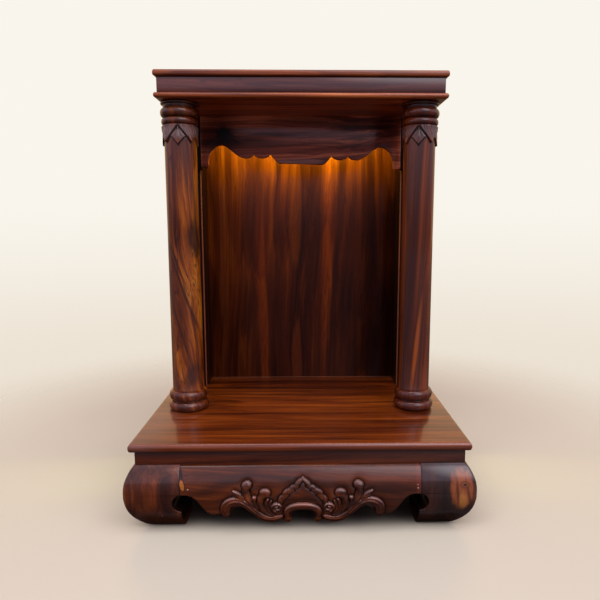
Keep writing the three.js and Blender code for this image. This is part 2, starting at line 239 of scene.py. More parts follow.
# Sockets of a node group, with starting values where they are given.
def addSockets(group, way, kind, names):
    for name in names:
        socket = group.interface.new_socket(name=name, in_out=way, socket_type=f"NodeSocket{kind}")
        if isinstance(names, dict):
            socket.default_value = names[name]


# Each layer of the figure: how often it changes in a metre, twice across the grain and then along it, and its
# detail, roughness and distortion.
grainLayers = {
    "drift": ((6, 6, 3.2), 1, 0.4), "sway": ((24, 24, 8), 2, 0.5), "rings": ((13, 13, 1.5), 1, 0.4),
    "ringWobble": ((70, 70, 4), 2, 0.5), "broad": ((36, 36, 2.4), 3, 0.5, 0.2),
    "band": ((120, 120, 3), 3, 0.6), "thin": ((330, 330, 6), 3, 0.6), "fibre": ((900, 900, 16), 2, 0.6),
    "pore": ((1400, 1400, 60), 1, 0.5), "flame": ((44, 44, 1.7), 3, 0.5, 0.15),
    "line": ((110, 110, 2.2), 2, 0.5), "gate": ((30, 30, 5), 1, 0.5),
}
toneShares = {"broad": 1.7, "band": 0.9, "thin": 0.6, "ring": 0.24}
grainShape = {
    "swayShare": 0.22, "ringCount": 9.0, "ringRise": (0.0, 0.75), "ringEdge": (0.86, 1.0), "veinHalf": 0.03,
    "flame": (0.53, 0.62), "gate": (0.4, 0.58), "fibre": (0.3, 0.7), "pore": (0.66, 0.74),
}


# Grain that runs along the local Z of the vector it is given, in metres.
def buildGrainGroup():
    group = bpy.data.node_groups.new("rosewoodGrain", "ShaderNodeTree")
    addSockets(group, "INPUT", "Vector", ("Vector",))
    addSockets(group, "INPUT", "Float", {"Size": 1.0, "Wave": 0.03, "Length": 1.0, "Streak": 1.0})
    addSockets(group, "OUTPUT", "Float", ("Tone", "Flame", "Vein", "Fibre", "Pore"))
    sheet = NodeSheet(group)
    given = sheet.add("NodeGroupInput").outputs
    out = sheet.add("NodeGroupOutput").inputs
    shape = grainShape

    def layer(name, place, color=False):
        often, *settings = grainLayers[name]
        return sheet.noise(sheet.vector("MULTIPLY", place, often), *settings, color=color)

    place = sheet.scale(given["Vector"], given["Size"])
    drift = sheet.vector("SUBTRACT", layer("drift", place, color=True), (0.5, 0.5, 0.5))
    sway = sheet.vector("SUBTRACT", layer("sway", place, color=True), (0.5, 0.5, 0.5))
    shift = sheet.vector("ADD", drift, sheet.scale(sway, shape["swayShare"]))
    bent = sheet.vector("ADD", place, sheet.vector("MULTIPLY", sheet.scale(shift, given["Wave"]), (1, 1, 0)))
    stretch = sheet.add("ShaderNodeCombineXYZ")
    for socket, value in zip(stretch.inputs, (1.0, 1.0, given["Length"])):
        sheet.feed(socket, value)
    bent = sheet.vector("MULTIPLY", bent, stretch.outputs[0])

    # growth rings cut along their length: a slow rise and a sharp dark edge
    rings = sheet.math("MULTIPLY", layer("rings", bent), shape["ringCount"])
    rings = sheet.math("FRACT", sheet.math("ADD", rings, layer("ringWobble", bent)))
    ring = sheet.math("MULTIPLY", sheet.spread(rings, *shape["ringRise"]),
                      sheet.spread(rings, *shape["ringEdge"], 1.0, 0.0))
    tone = sheet.math("MULTIPLY", sheet.math("SUBTRACT", layer("broad", bent), 0.5), toneShares["broad"])
    for name, part in (("band", layer("band", bent)), ("thin", layer("thin", bent)), ("ring", ring)):
        part = sheet.math("MULTIPLY", sheet.math("SUBTRACT", part, 0.5), toneShares[name])
        tone = sheet.math("ADD", tone, part)
    tone = sheet.math("ADD", sheet.math("MULTIPLY", tone, given["Streak"]), 0.5)
    sheet.feed(out["Tone"], sheet.math("MAXIMUM", sheet.math("MINIMUM", tone, 1.0), 0.0))
    sheet.feed(out["Flame"], sheet.spread(layer("flame", bent), *shape["flame"]))
    ridge = sheet.math("ABSOLUTE", sheet.math("SUBTRACT", layer("line", bent), 0.5))
    vein = sheet.spread(ridge, 0.0, shape["veinHalf"], 1.0, 0.0)
    sheet.feed(out["Vein"], sheet.math("MULTIPLY", vein, sheet.spread(layer("gate", bent), *shape["gate"])))
    sheet.feed(out["Fibre"], sheet.spread(layer("fibre", bent), *shape["fibre"], smooth=False))
    sheet.feed(out["Pore"], sheet.spread(layer("pore", bent), *shape["pore"]))
    return group


# A soft-edged spot on the face of a board, in millimetres across and up, for knots, pale wood and filler, and
# for painted shade and painted highlights.
def buildSpotGroup():
    group = bpy.data.node_groups.new("woodSpot", "ShaderNodeTree")
    addSockets(group, "INPUT", "Vector", ("Vector", "Middle", "Reach", "Fray"))
    addSockets(group, "INPUT", "Float", ("Turn", "Ragged", "Soft"))
    addSockets(group, "OUTPUT", "Float", ("Mask",))
    sheet = NodeSheet(group)
    given = sheet.add("NodeGroupInput").outputs
    out = sheet.add("NodeGroupOutput").inputs
    place = sheet.vector("SUBTRACT", sheet.scale(given["Vector"], 1 / mm), given["Middle"])
    turned = sheet.add("ShaderNodeVectorRotate", rotation_type="Y_AXIS")
    sheet.feed(turned.inputs["Vector"], place)
    sheet.feed(turned.inputs["Angle"], given["Turn"])
    away = sheet.vector("LENGTH", sheet.vector("DIVIDE", turned.outputs[0], given["Reach"]))
    wobble = sheet.noise(sheet.vector("MULTIPLY", given["Vector"], given["Fray"]), 3.0, 0.6)
    wobble = sheet.math("MULTIPLY", sheet.math("SUBTRACT", wobble, 0.5), given["Ragged"])
    away = sheet.math("ADD", away, wobble)
    low = sheet.math("SUBTRACT", 1.0, given["Soft"])
    high = sheet.math("ADD", 1.0, given["Soft"])
    sheet.feed(out["Mask"], sheet.spread(away, low, high, 1.0, 0.0))
    return group


grainGroup = buildGrainGroup()
spotGroup = buildSpotGroup()


# A mark on a board's face, with its middle and its reach across and up, and y and depth from front to back.
# It paints its colour over the wood, and a dull one takes the shine as well.
def spot(name, at, reach, color, y=0.0, depth=1000.0, turn=0.0, soft=0.15, ragged=0.2, strength=1.0,
         fray=None, dull=False):
    return {"name": name, "middle": (at[0], y, at[1]), "reach": (reach[0], depth, reach[1]),
            "color": srgb(*color), "turn": turn, "soft": soft, "ragged": ragged, "strength": strength,
            "fray": fray, "dull": dull, "blend": "MIX"}


# A mark that multiplies the wood's colour by three factors.
def tint(name, at, reach, factors, **settings):
    return {**spot(name, at, reach, (0, 0, 0), **settings), "color": factors, "blend": "MULTIPLY"}


def addSpot(sheet, coords, mark, fray):
    node = sheet.add("ShaderNodeGroup", node_tree=spotGroup, label=mark["name"])
    sheet.feed(node.inputs["Vector"], coords)
    node.inputs["Fray"].default_value = mark["fray"] or fray
    for key in ("Middle", "Reach", "Ragged", "Soft"):
        node.inputs[key].default_value = mark[key.lower()]
    node.inputs["Turn"].default_value = math.radians(mark["turn"])
    return sheet.math("MULTIPLY", node.outputs["Mask"], mark["strength"])


# What the varnished boards share, unless a look has its own value.
varnish = {
    "flame": 0.5, "vein": 0.5, "coat": 0.8, "rough": 0.3, "coatRough": 0.13, "coatIOR": 1.5, "specular": 0.12,
    "fibreShade": (0.8, 1.14), "fibreRough": 0.06, "poreDark": 0.4, "poreDepth": 1.5, "cavityShare": 0.94,
    "crestShare": 0.55, "bump": 0.1, "bumpDepth": 0.0006, "fray": (130, 130, 130),
}


# Varnished wood: a look says which way the grain runs, its scale, its colours and any spots on it.
def woodMaterial(name, look):
    look = {**varnish, **look}
    material = bpy.data.materials.new(name)
    material.use_nodes = True
    sheet = NodeSheet(material.node_tree)
    shader = material.node_tree.nodes["Principled BSDF"]
    coords = sheet.add("ShaderNodeTexCoord").outputs["Object"]
    mapping = sheet.add("ShaderNodeMapping")
    mapping.inputs["Location"].default_value = look.get("offset", (0, 0, 0))
    mapping.inputs["Rotation"].default_value = tuple(math.radians(a) for a in look.get("turn", (0, 0, 0)))
    sheet.feed(mapping.inputs["Vector"], coords)
    grain = sheet.add("ShaderNodeGroup", node_tree=grainGroup)
    sheet.feed(grain.inputs["Vector"], mapping.outputs[0])
    for key in ("Size", "Wave", "Length", "Streak"):
        if key.lower() in look:
            grain.inputs[key].default_value = look[key.lower()]
    fibre, pore = grain.outputs["Fibre"], grain.outputs["Pore"]

    line = srgb(*look["line"])
    stops = [(place, srgb(*tone)) for place, tone in look["colors"].items()]
    color = sheet.ramp(grain.outputs["Tone"], stops)
    for key in ("Flame", "Vein"):
        color = sheet.mix(sheet.math("MULTIPLY", grain.outputs[key], look[key.lower()]), color, line)
    coat = look["coat"]
    for mark in look.get("spots", []):
        mask = addSpot(sheet, coords, mark, look["fray"])
        color = sheet.mix(mask, color, mark["color"], mark["blend"])
        if mark["dull"]:
            coat = sheet.math("MULTIPLY", sheet.math("SUBTRACT", 1.0, mask), coat)
    shade = sheet.spread(fibre, 0.0, 1.0, *look["fibreShade"], smooth=False)
    grey = sheet.add("ShaderNodeCombineColor")
    for socket in grey.inputs:
        sheet.feed(socket, shade)
    color = sheet.mix(1.0, color, grey.outputs[0], "MULTIPLY")
    color = sheet.mix(sheet.math("MULTIPLY", pore, look["poreDark"]), color, line)
    # Painted shade in the carved crevices and a painted highlight on the carving's upper flanks, each from a
    # value stored on the mesh.
    for key, layer in (("stain", "cavity"), ("glint", "crest")):
        if key in look:
            carved = sheet.add("ShaderNodeAttribute", attribute_name=layer).outputs["Fac"]
            color = sheet.mix(sheet.math("MULTIPLY", carved, look[f"{layer}Share"]), color, srgb(*look[key]))

    rough = sheet.spread(fibre, 0.0, 1.0, look["rough"] + look["fibreRough"], look["rough"], smooth=False)
    bump = sheet.add("ShaderNodeBump")
    height = sheet.math("SUBTRACT", fibre, sheet.math("MULTIPLY", pore, look["poreDepth"]))
    for socket, value in zip(("Strength", "Distance", "Height"), (look["bump"], look["bumpDepth"], height)):
        sheet.feed(bump.inputs[socket], value)
    settings = {"Base Color": color, "Roughness": rough, "Specular IOR Level": look["specular"],
                "Coat Weight": coat, "Coat Roughness": look["coatRough"], "Coat IOR": look["coatIOR"],
                "Normal": bump.outputs[0]}
    for socket, value in settings.items():
        sheet.feed(shader.inputs[socket], value)
    return material


acrossX = (0, 90, 0)      # turns the grain to run across the width
alongY = (84, 0, 0)       # turns it to run from front to back
upright = (170, 170, 14)  # frays a spot along an upright grain
across = (14, 170, 170)   # frays it along a grain across the width
# A dark tone, used for painted shade on the panel's right and for the dark tongue in its figure.
shadeAndFigureTone = (0.3, 0.24, 0.24)


# The hollow inside a foot's curl, where no light falls.
def curlShade(side):
    deep = {"soft": 0.02, "ragged": 0.0, "dull": True}
    return [spot("toeDark", (160 * side, 30), (8.3, 40), (16, 6, 5), **deep),
            spot("hookDark", (166 * side, 46.6), (14, 14), (12, 5, 4), **deep)]


# A column's rings are darker than its shaft, and the leaf collar carries a painted sheen.
def columnEnds(x, sheen, strength):
    return [tint("ringsDark", (x, 140), (60, 26), (0.66, 0.56, 0.55), soft=0.05),
            tint("capitalDark", (x, 600), (60, 38), (0.55, 0.45, 0.55), soft=0.1),
            spot("collarSheen", (x, 572), (40, 9), sheen, soft=0.5, ragged=0.9, strength=strength)]


looks = {}
looks["deckWood"] = {
    "turn": acrossX, "size": 1.25, "wave": 0.014, "streak": 0.95, "line": (42, 11, 3), "flame": 0.6,
    "vein": 0.3, "coat": 0.85, "coatRough": 0.11,
    "colors": {0: (42, 13, 3), 0.35: (78, 29, 6), 0.65: (104, 44, 10), 1: (132, 62, 16)},
    "spots": [
        tint("backShade", (0, 131), (215, 1000), (0.42, 0.34, 0.36), y=128, depth=74, soft=0.6, ragged=0.3,
             fray=across),
        spot("leftSheen", (-238, 131), (40, 1000), (104, 84, 80), y=-110, depth=84, soft=0.7, ragged=0.2,
             strength=0.4, fray=across),
    ],
}
looks["waistWood"] = {
    "turn": acrossX, "size": 1.0, "wave": 0.03, "line": (26, 8, 5), "coat": 0.6,
    "colors": {0: (38, 13, 6), 0.5: (66, 26, 12), 1: (92, 40, 18)},
}
looks["apronWood"] = {
    "turn": (0, 84, 0), "size": 0.8, "wave": 0.06, "line": (34, 13, 6), "offset": (0.3, 0, 0.1),
    "flame": 0.5, "stain": (12, 5, 3), "streak": 1.15, "coat": 0.5, "glint": (168, 132, 128),
    "colors": {0: (46, 18, 7), 0.45: (76, 32, 11), 0.75: (96, 43, 14), 1: (124, 62, 20)},
    "spots": [
        spot("slantDark", (-112, 74), (44, 7), (38, 15, 8), turn=22, soft=0.7, ragged=0.9, strength=0.6,
             fray=(40, 200, 160)),
        spot("slantDarkB", (-86, 62), (34, 3), (36, 14, 8), turn=20, soft=0.7, ragged=0.9, strength=0.6,
             fray=(40, 200, 160)),
        spot("slantDarkC", (118, 66), (34, 3.4), (40, 16, 8), turn=-16, soft=0.7, ragged=0.9, strength=0.5,
             fray=(40, 200, 160)),
        tint("orangeBelly", (-98, 44), (40, 12), (1.35, 1.3, 1.0), turn=12, soft=0.7, ragged=0.6,
             fray=(40, 160, 120)),
        tint("orangeCarving", (0, 28), (78, 14), (1.5, 1.45, 1.0), soft=0.7, ragged=0.8),
        tint("archGlint", (2.8, 47.5), (17, 2.4), (2.4, 2.5, 2.0), soft=0.6, ragged=0.5),
        tint("voluteGlow", (46, 50), (9, 15), (1.9, 1.8, 1.1), soft=0.7, ragged=0.8),
        spot("jointLeft", (-168.6, 80), (0.9, 60), (24, 9, 7), soft=0.5),
        spot("jointRight", (168.6, 80), (0.9, 60), (24, 9, 7), soft=0.5),
        spot("redStrip", (165, 84), (3.4, 30), (104, 42, 26), soft=0.4, strength=0.5),
        spot("crack", (-166.4, 89), (1.4, 8), (18, 7, 5), turn=14, soft=0.5, ragged=0.6),
        spot("fillerShade", (-165.4, 75.5), (4.2, 9.6), (40, 16, 9), turn=14, soft=0.3, ragged=0.5),
        spot("filler", (-165.0, 74.5), (2.8, 7.4), (150, 88, 30), turn=12, soft=0.2, ragged=0.5),
        spot("pinA", (-158.6, 83), (0.8, 0.8), (26, 12, 10)),
        spot("pinB", (-156.8, 69), (1.0, 0.8), (176, 150, 142)),
        spot("pinC", (164.0, 90.8), (0.8, 0.8), (26, 12, 10)),
        spot("pinD", (163.6, 73.6), (0.7, 0.7), (170, 146, 138)),
        spot("pinE", (164.0, 69), (0.8, 0.7), (184, 160, 150)),
    ],
}
looks["footLeftWood"] = {
    "size": 1.7, "wave": 0.012, "line": (26, 10, 7), "offset": (0.1, 0, 0), "flame": 0.25, "streak": 0.8,
    "coat": 0.6,
    "colors": {0: (42, 17, 9), 0.45: (70, 31, 15), 0.75: (94, 44, 18), 1: (128, 66, 25)},
    "spots": [
        tint("orangeStreaks", (-220, 58), (26, 24), (1.3, 1.2, 1.0), soft=0.5, ragged=0.8, fray=upright),
        tint("darkSide", (-184, 52), (15, 34), (0.6, 0.62, 0.8), soft=0.5, ragged=0.5, fray=upright),
        *curlShade(-1),
        spot("paleDot", (-195.5, 26), (0.9, 0.8), (168, 140, 120)),
    ],
}
looks["footRightWood"] = {
    "size": 1.7, "wave": 0.012, "line": (18, 8, 8), "offset": (0.1, 0, 0), "flame": 0.5, "streak": 0.7,
    "colors": {0: (30, 13, 10), 0.45: (46, 22, 16), 0.75: (62, 31, 20), 1: (88, 46, 26)},
    "spots": [
        spot("patchShade", (225, 66), (21, 31), (44, 20, 13), turn=8, soft=0.2, ragged=0.6,
             fray=(160, 160, 40)),
        spot("palePatch", (226.5, 65), (17, 27), (136, 68, 30), turn=8, soft=0.22, ragged=0.9, strength=0.9,
             fray=(200, 200, 30)),
        spot("patchGrain", (220, 62), (2.0, 24), (60, 26, 13), turn=6, soft=0.6, ragged=1.4, strength=0.8,
             fray=(260, 260, 50)),
        spot("patchGrainB", (235, 60), (1.8, 22), (66, 30, 15), turn=12, soft=0.6, ragged=1.4, strength=0.7,
             fray=(260, 260, 50)),
        spot("brightPatch", (228, 49), (5.5, 12), (176, 112, 50), soft=0.6, ragged=1.2, strength=0.75,
             fray=(240, 240, 40)),
        spot("knotRing", (230, 72.6), (7, 5), (70, 34, 18), soft=0.4, ragged=0.6, strength=0.7),
        spot("knotRingPale", (230, 72.6), (4.6, 3.2), (120, 66, 32), soft=0.3, ragged=0.6, strength=0.7),
        spot("knot", (230, 72.6), (2.4, 1.5), (24, 11, 8), soft=0.3, ragged=0.5),
        spot("dent", (212.5, 94), (1.3, 1.2), (16, 8, 8)),
        *curlShade(1),
    ],
}
looks["columnLeftWood"] = {
    "offset": (0.05, 0.0, 0.3), "turn": (0, 9, 0), "size": 0.95, "wave": 0.075, "length": 1.7,
    "flame": 0.65, "line": (44, 15, 7), "vein": 0.75, "streak": 1.15, "stain": (16, 6, 4), "coat": 0.55,
    "colors": {0: (58, 22, 7), 0.35: (94, 40, 9), 0.65: (130, 65, 13), 1: (170, 100, 27)},
    "spots": [
        spot("darkPatch", (-168, 410), (8, 26), (30, 10, 5), soft=0.5, ragged=0.9, strength=0.85,
             fray=(120, 120, 40)),
        spot("slantLine", (-183, 325), (2.4, 66), (40, 14, 7), turn=18, soft=0.5, ragged=0.6, strength=0.8,
             fray=upright),
        spot("slantLineB", (-190, 262), (2.0, 50), (44, 16, 8), turn=16, soft=0.5, ragged=0.8, strength=0.7,
             fray=upright),
        spot("slantLineC", (-196, 380), (2.2, 60), (44, 16, 8), turn=20, soft=0.5, ragged=0.8, strength=0.7,
             fray=upright),
        # Painted shade, purplish, down the left side of the column.
        tint("purpleSideShade", (-200, 500), (17, 120), (0.6, 0.5, 0.7), soft=0.5, ragged=0.6, fray=upright),
        tint("orangeHeart", (-178, 440), (9, 80), (1.4, 1.5, 1.0), turn=4, soft=0.5, ragged=0.9,
             fray=(90, 90, 26)),
        spot("footDark", (-176, 190), (9, 22), (36, 13, 8), turn=-20, soft=0.5, ragged=0.9, strength=0.7,
             fray=(90, 90, 30)),
        *columnEnds(-186, (150, 124, 122), 0.34),
    ],
}
looks["columnRightWood"] = {
    "offset": (0.55, 0.2, 0.1), "turn": (0, -3, 0), "size": 1.0, "wave": 0.008, "length": 0.4, "flame": 0.5,
    "line": (36, 13, 9), "vein": 0.5, "stain": (16, 6, 4), "coat": 0.55,
    "colors": {0: (52, 19, 9), 0.45: (86, 36, 14), 0.75: (118, 52, 17), 1: (152, 76, 24)},
    "spots": [
        spot("darkStripe", (176, 400), (7, 210), (44, 18, 14), turn=-2, soft=0.5, ragged=0.5, strength=0.7,
             fray=upright),
        spot("orangeStripe", (184, 235), (2.8, 66), (150, 72, 22), turn=-5, soft=0.6, ragged=0.6,
             strength=0.7, fray=upright),
        *columnEnds(186, (120, 98, 96), 0.3),
    ],
}
looks["panelWood"] = {
    "size": 0.75, "wave": 0.04, "line": (36, 12, 5), "flame": 0.5, "vein": 0.5, "streak": 0.9, "coat": 0.06,
    "fray": upright,
    "colors": {0: (50, 17, 5), 0.35: (76, 29, 6), 0.65: (100, 42, 9), 1: (134, 66, 14)},
    "spots": [
        tint("lowShade", (0, 150), (400, 250), (0.42, 0.4, 0.5), soft=0.5),
        tint("middleShade", (0, 300), (400, 190), (0.82, 0.74, 0.74), soft=0.3),
        tint("rightShade", (158, 190), (50, 130), shadeAndFigureTone, soft=0.4, ragged=1.2, strength=0.85),
        tint("rightPurple", (165, 370), (44, 110), (0.5, 0.46, 0.56), soft=0.4, ragged=0.9),
        tint("darkTongue", (14, 430), (14, 84), shadeAndFigureTone, soft=0.5, ragged=0.9, strength=0.3),
        tint("tongueEdge", (-12, 452), (18, 110), (0.5, 0.46, 0.5), soft=0.2, ragged=0.5, strength=0.7),
        spot("tongue", (-12, 462), (12, 100), (112, 50, 14), soft=0.3, ragged=0.7, strength=0.35),
        tint("archEdge", (-10, 172), (15, 84), (0.5, 0.46, 0.5), soft=0.12, ragged=0.5),
        spot("arch", (-10, 162), (10, 84), (92, 38, 12), soft=0.3, ragged=0.7, strength=0.5),
        spot("footLine", (0, 132.2), (900, 1.1), (150, 92, 66), y=150, depth=3.0, ragged=0.0, strength=0.4),
        tint("upperShade", (0, 448), (400, 56), (0.72, 0.66, 0.6), soft=0.7),
        tint("flameLeft", (-76, 290), (9, 190), (1.9, 1.8, 1.4), turn=1.5, soft=0.5, ragged=0.7),
        tint("flameRight", (48, 330), (10, 190), (1.9, 1.8, 1.4), turn=-1.0, soft=0.5, ragged=0.7),
    ],
}
# The side panels' wood is painted near black, as painted shade on their inner faces.
looks["sidePanelShadedWood"] = {
    "size": 0.75, "wave": 0.02, "line": (10, 4, 3), "coat": 0.1,
    "colors": {0: (12, 5, 5), 0.5: (22, 8, 8), 1: (38, 14, 11)},
    "spots": [
        # Painted highlights along the side panels' inner front arrises.
        spot("arrisHighlightLeft", (-177.4, 340), (1.4, 900), (160, 84, 56), y=93, depth=1.6, ragged=0.0,
             strength=0.6),
        spot("arrisHighlightRight", (177.4, 340), (1.5, 900), (150, 84, 58), y=93, depth=1.7, ragged=0.0,
             strength=0.5),
    ],
}
# The valance's colours are partly its own light tone and partly painted light, lightened to make up for the
# shade under the roof.
looks["valanceLightenedWood"] = {
    "turn": acrossX, "size": 1.0, "wave": 0.05, "line": (60, 22, 16), "streak": 1.4, "flame": 0.5,
    "coat": 0.45,
    "colors": {0: (80, 32, 22), 0.5: (156, 72, 48), 1: (244, 138, 92)},
    "spots": [
        tint("leftDark", (-140, 582), (36, 40), (0.4, 0.36, 0.42), soft=0.6, ragged=0.6, fray=across,
             dull=True),
        spot("knot", (-133, 586), (14, 13.5), (8, 4, 4), soft=0.6, ragged=1.2, dull=True),
        spot("knotCrackA", (-127, 573), (1.2, 5), (12, 5, 5), turn=24, soft=0.5, ragged=0.5),
        spot("knotCrackB", (-114, 575), (1.3, 9), (12, 5, 5), turn=56, soft=0.5, ragged=0.5),
        spot("knotCrackC", (-118, 583), (1.0, 9), (12, 5, 5), turn=78, soft=0.5, ragged=0.5),
        spot("greyEdge", (-2, 540.5), (44, 4.4), (128, 104, 104), soft=0.4, strength=0.5),
        tint("rightDark", (146, 586), (24, 50), (0.4, 0.34, 0.4), soft=0.6, ragged=0.6, fray=across),
    ],
}
# The cleats are painted near black, as painted shade in the gaps beside the valance's ends.
looks["cleatShadedWood"] = {
    "line": (8, 4, 3), "coat": 0.2, "rough": 0.6,
    "colors": {0: (10, 5, 4), 1: (20, 9, 6)},
}
looks["friezeWood"] = {
    "turn": acrossX, "size": 1.0, "wave": 0.03, "line": (34, 14, 15), "flame": 0.4,
    "colors": {0: (44, 18, 16), 0.5: (72, 31, 24), 1: (98, 46, 33)},
}
looks["slabWood"] = {
    "turn": acrossX, "size": 1.2, "wave": 0.02, "line": (52, 18, 7), "flame": 0.5, "coat": 0.5,
    "colors": {0: (64, 23, 8), 0.45: (112, 50, 17), 1: (164, 86, 36)},
    "spots": [
        # Painted light brightens the roof board's shaded underside. Painted shade darkens the top board,
        # which gets more light from above. A painted highlight runs along the lower board's nose.
        tint("undersidePaintedLight", (0, 616.4), (1000, 2.0), (2.2, 2.0, 1.4), soft=0.15, ragged=0.0),
        tint("topBoardShade", (0, 658), (1000, 12), (0.68, 0.58, 0.36), soft=0.05, ragged=0.0),
        tint("lowerNoseHighlight", (0, 622), (1000, 3.6), (1.35, 1.4, 1.45), soft=0.4, ragged=0.3),
    ],
}
# The boards that run from front to back have their grain along Y and no marks.
for plank in ("waist", "apron", "frieze"):
    looks[f"{plank}SideWood"] = {**looks[f"{plank}Wood"], "turn": alongY, "spots": []}
woods = {name: woodMaterial(name, look) for name, look in looks.items()}
print("wood finishes ready")


def finishPiece(name, bm, wood, nodes, crease=32.0):
    mesh = bpy.data.meshes.new(name)
    bmesh.ops.recalc_face_normals(bm, faces=bm.faces)
    bm.to_mesh(mesh)
    bm.free()
    for polygon in mesh.polygons:
        polygon.use_smooth = True
    mesh.set_sharp_from_angle(angle=math.radians(crease))
    piece = bpy.data.objects.new(name, mesh)
    bpy.context.collection.objects.link(piece)
    mesh.materials.append(woods[wood])
    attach(piece, "root")
    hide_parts(*nodes)
    return piece


# Painted shade in carved crevices and a painted highlight on upper flanks, each set by a value at every
# vertex.
def markVerts(bm, name, verts, values):
    layer = bm.verts.layers.float.get(name) or bm.verts.layers.float.new(name)
    for vert, value in zip(verts, values):
        vert[layer] = float(value)


def bevelEdges(bm, edges, width, segments):
    bmesh.ops.bevel(bm, geom=list(edges), offset=width * mm, offset_type="OFFSET", segments=segments,
                    profile=0.5, affect="EDGES", material=-1, clamp_overlap=True)


def freshVerts(made):
    return [g for g in made["geom"] if isinstance(g, bmesh.types.BMVert)]


def boardBlock(low, high):
    bm = bmesh.new()
    bmesh.ops.create_cube(bm, size=1.0)
    size = high - low
    bmesh.ops.scale(bm, vec=size, verts=bm.verts)
    bmesh.ops.translate(bm, vec=(low + high) / 2, verts=bm.verts)
    return bm


# A board with its edges slightly rounded.
def plainBoard(name, node, wood, arris=0.8):
    bm = boardBlock(*boxOf(node))
    bevelEdges(bm, bm.edges, arris, 3)
    return finishPiece(name, bm, wood, [node])


def roundedRing(low, high, inset, corner, z, steps=5, leastRadius=0.4):
    points = []
    radius = max(corner - inset, leastRadius) * mm
    for sideX, sideY, start in ((1, -1, -90), (1, 1, 0), (-1, 1, 90), (-1, -1, 180)):
        edgeX = (high.x if sideX > 0 else low.x) - sideX * (inset * mm + radius)
        edgeY = (high.y if sideY > 0 else low.y) - sideY * (inset * mm + radius)
        for i in range(steps + 1):
            angle = math.radians(start + 90 * i / steps)
            points.append(Vector((edgeX + radius * math.cos(angle), edgeY + radius * math.sin(angle), z)))
    return points


# A board whose edge is drawn round its whole outline; the edge is a list of (inset, height) in millimetres.
def mouldedBoard(name, node, wood, edge, corner, crease=50.0):
    low, high = boxOf(node)
    bm = bmesh.new()
    verts = [bm.verts.new(p) for p in roundedRing(low, high, edge[0][0], corner, low.z + edge[0][1] * mm)]
    count = len(verts)
    ring = [bm.edges.new((verts[i], verts[(i + 1) % count])) for i in range(count)]
    bmesh.ops.contextual_create(bm, geom=ring)
    for inset, up in edge[1:]:
        fresh = freshVerts(bmesh.ops.extrude_edge_only(bm, edges=ring))
        verts = [next(e.other_vert(v) for e in v.link_edges if e.other_vert(v) in fresh) for v in verts]
        for vert, place in zip(verts, roundedRing(low, high, inset, corner, low.z + up * mm)):
            vert.co = place
        ring = [bm.edges.get((verts[i], verts[(i + 1) % count])) for i in range(count)]
    bmesh.ops.contextual_create(bm, geom=ring)
    return finishPiece(name, bm, wood, [node], crease)


# Rounded nose: a half ellipse from the lower face to the upper one.
def noseEdge(thickness, bite, steps=10):
    edge = []
    for i in range(steps + 1):
        angle = math.radians(-90 + 180 * i / steps)
        edge.append((bite * (1 - math.cos(angle)), thickness / 2 * (1 + math.sin(angle))))
    return edge


# Catmull-Rom line through the given points, each with any number of values.
def smoothLine(points, steps):
    pts = [np.array(p, float) for p in points]
    pts = [2 * pts[0] - pts[1], *pts, 2 * pts[-1] - pts[-2]]
    line = []
    for i in range(1, len(pts) - 2):
        a, b, c, d = pts[i - 1:i + 3]
        for k in range(steps):
            t = k / steps
            line.append(0.5 * (2 * b + (c - a) * t + (2 * a - 5 * b + 4 * c - d) * t * t
                               + (3 * b - a - 3 * c + d) * t ** 3))
    line.append(pts[-2])
    return np.array(line)


deckShape = {"thickness": 12.5, "nose": 4.4, "corner": 1.8}
mouldedBoard("deckBoard", "deck", "deckWood",
             noseEdge(deckShape["thickness"], deckShape["nose"]), deckShape["corner"])
for side in ("front", "back", "left", "right"):
    wood = "waistWood" if side in ("front", "back") else "waistSideWood"
    plainBoard(f"waistBoard{side.capitalize()}", f"waist_{side}", wood)
print("deck and waist made")


footShape = {
    # outer face: [distance from the middle across the width, height]
    "bulge": [(214, 0), (219, 2), (224.8, 7), (232, 15.5), (238.3, 25), (242.9, 35), (245.6, 45), (247, 54.5),
              (247.1, 65), (245.8, 75.5), (242.8, 84.5), (237.9, 94), (233.2, 99.3)],
    "hook": {"x": 166.0, "z": 46.6, "radius": 13.6}, "toeInner": 167.4, "lip": 1.2,
    "jointX": 169.0, "depthLess": 62.0, "arris": 2.2, "edge": 1.2, "widest": 247.05,
    "lipTop": 33.0, "lipReach": 3.0,
    # heights of the rings below and above the hook
    "lowLevels": [0, 0.6, 1.3, 2.2, 3.4, 5, 7, 9.4, 12, 15, 18.5, 22, 25.5, 28.5, 30, 31, 31.8, 32.4],
    "highLevels": [62.5, 65, 68, 71, 74, 77, 80, 83, 85.5, 88, 90.5, 92.5, 94.5, 96.2, 97.6, 98.6, 99.3],
    "hookSteps": 24, "hookShare": 0.9965,
}
bulgeLine = smoothLine(footShape["bulge"], 6)


def outerAt(z):
    return np.minimum(np.interp(z, bulgeLine[:, 1], bulgeLine[:, 0]), footShape["widest"])


# Inner side of a foot: straight above, round in the hook, straight again down the toe.
def footInnerAt(z):
    hook = footShape["hook"]
    rise = z - hook["z"]
    reach = hook["x"] + math.sqrt(max(hook["radius"] ** 2 - rise ** 2, 0.0))
    if rise > 0:
        return max(reach, footShape["jointX"]) if rise < hook["radius"] else footShape["jointX"]
    over = max(0.0, 1 + (z - footShape["lipTop"]) / footShape["lipReach"])
    lip = footShape["lip"] * over ** 2 if z < footShape["lipTop"] else 0.0
    return max(reach, footShape["toeInner"] + lip)


def footLevels():
    hook, steps = footShape["hook"], footShape["hookSteps"]
    hookLevels = [hook["z"] - hook["radius"] * math.cos(math.pi * k / steps) * footShape["hookShare"]
              for k in range(steps + 1)]
    levels = footShape["lowLevels"] + hookLevels + footShape["highLevels"]
    return sorted(set(round(z, 3) for z in levels))


def ringAt(z, sideX, sideY):
    inner, outer = footInnerAt(z), float(outerAt(z))
    less = footShape["depthLess"]
    corners = [(inner, inner - less), (outer, inner - less), (outer, outer - less), (inner, outer - less)]
    return [Vector((sideX * x * mm, sideY * y * mm, z * mm)) for x, y in corners]


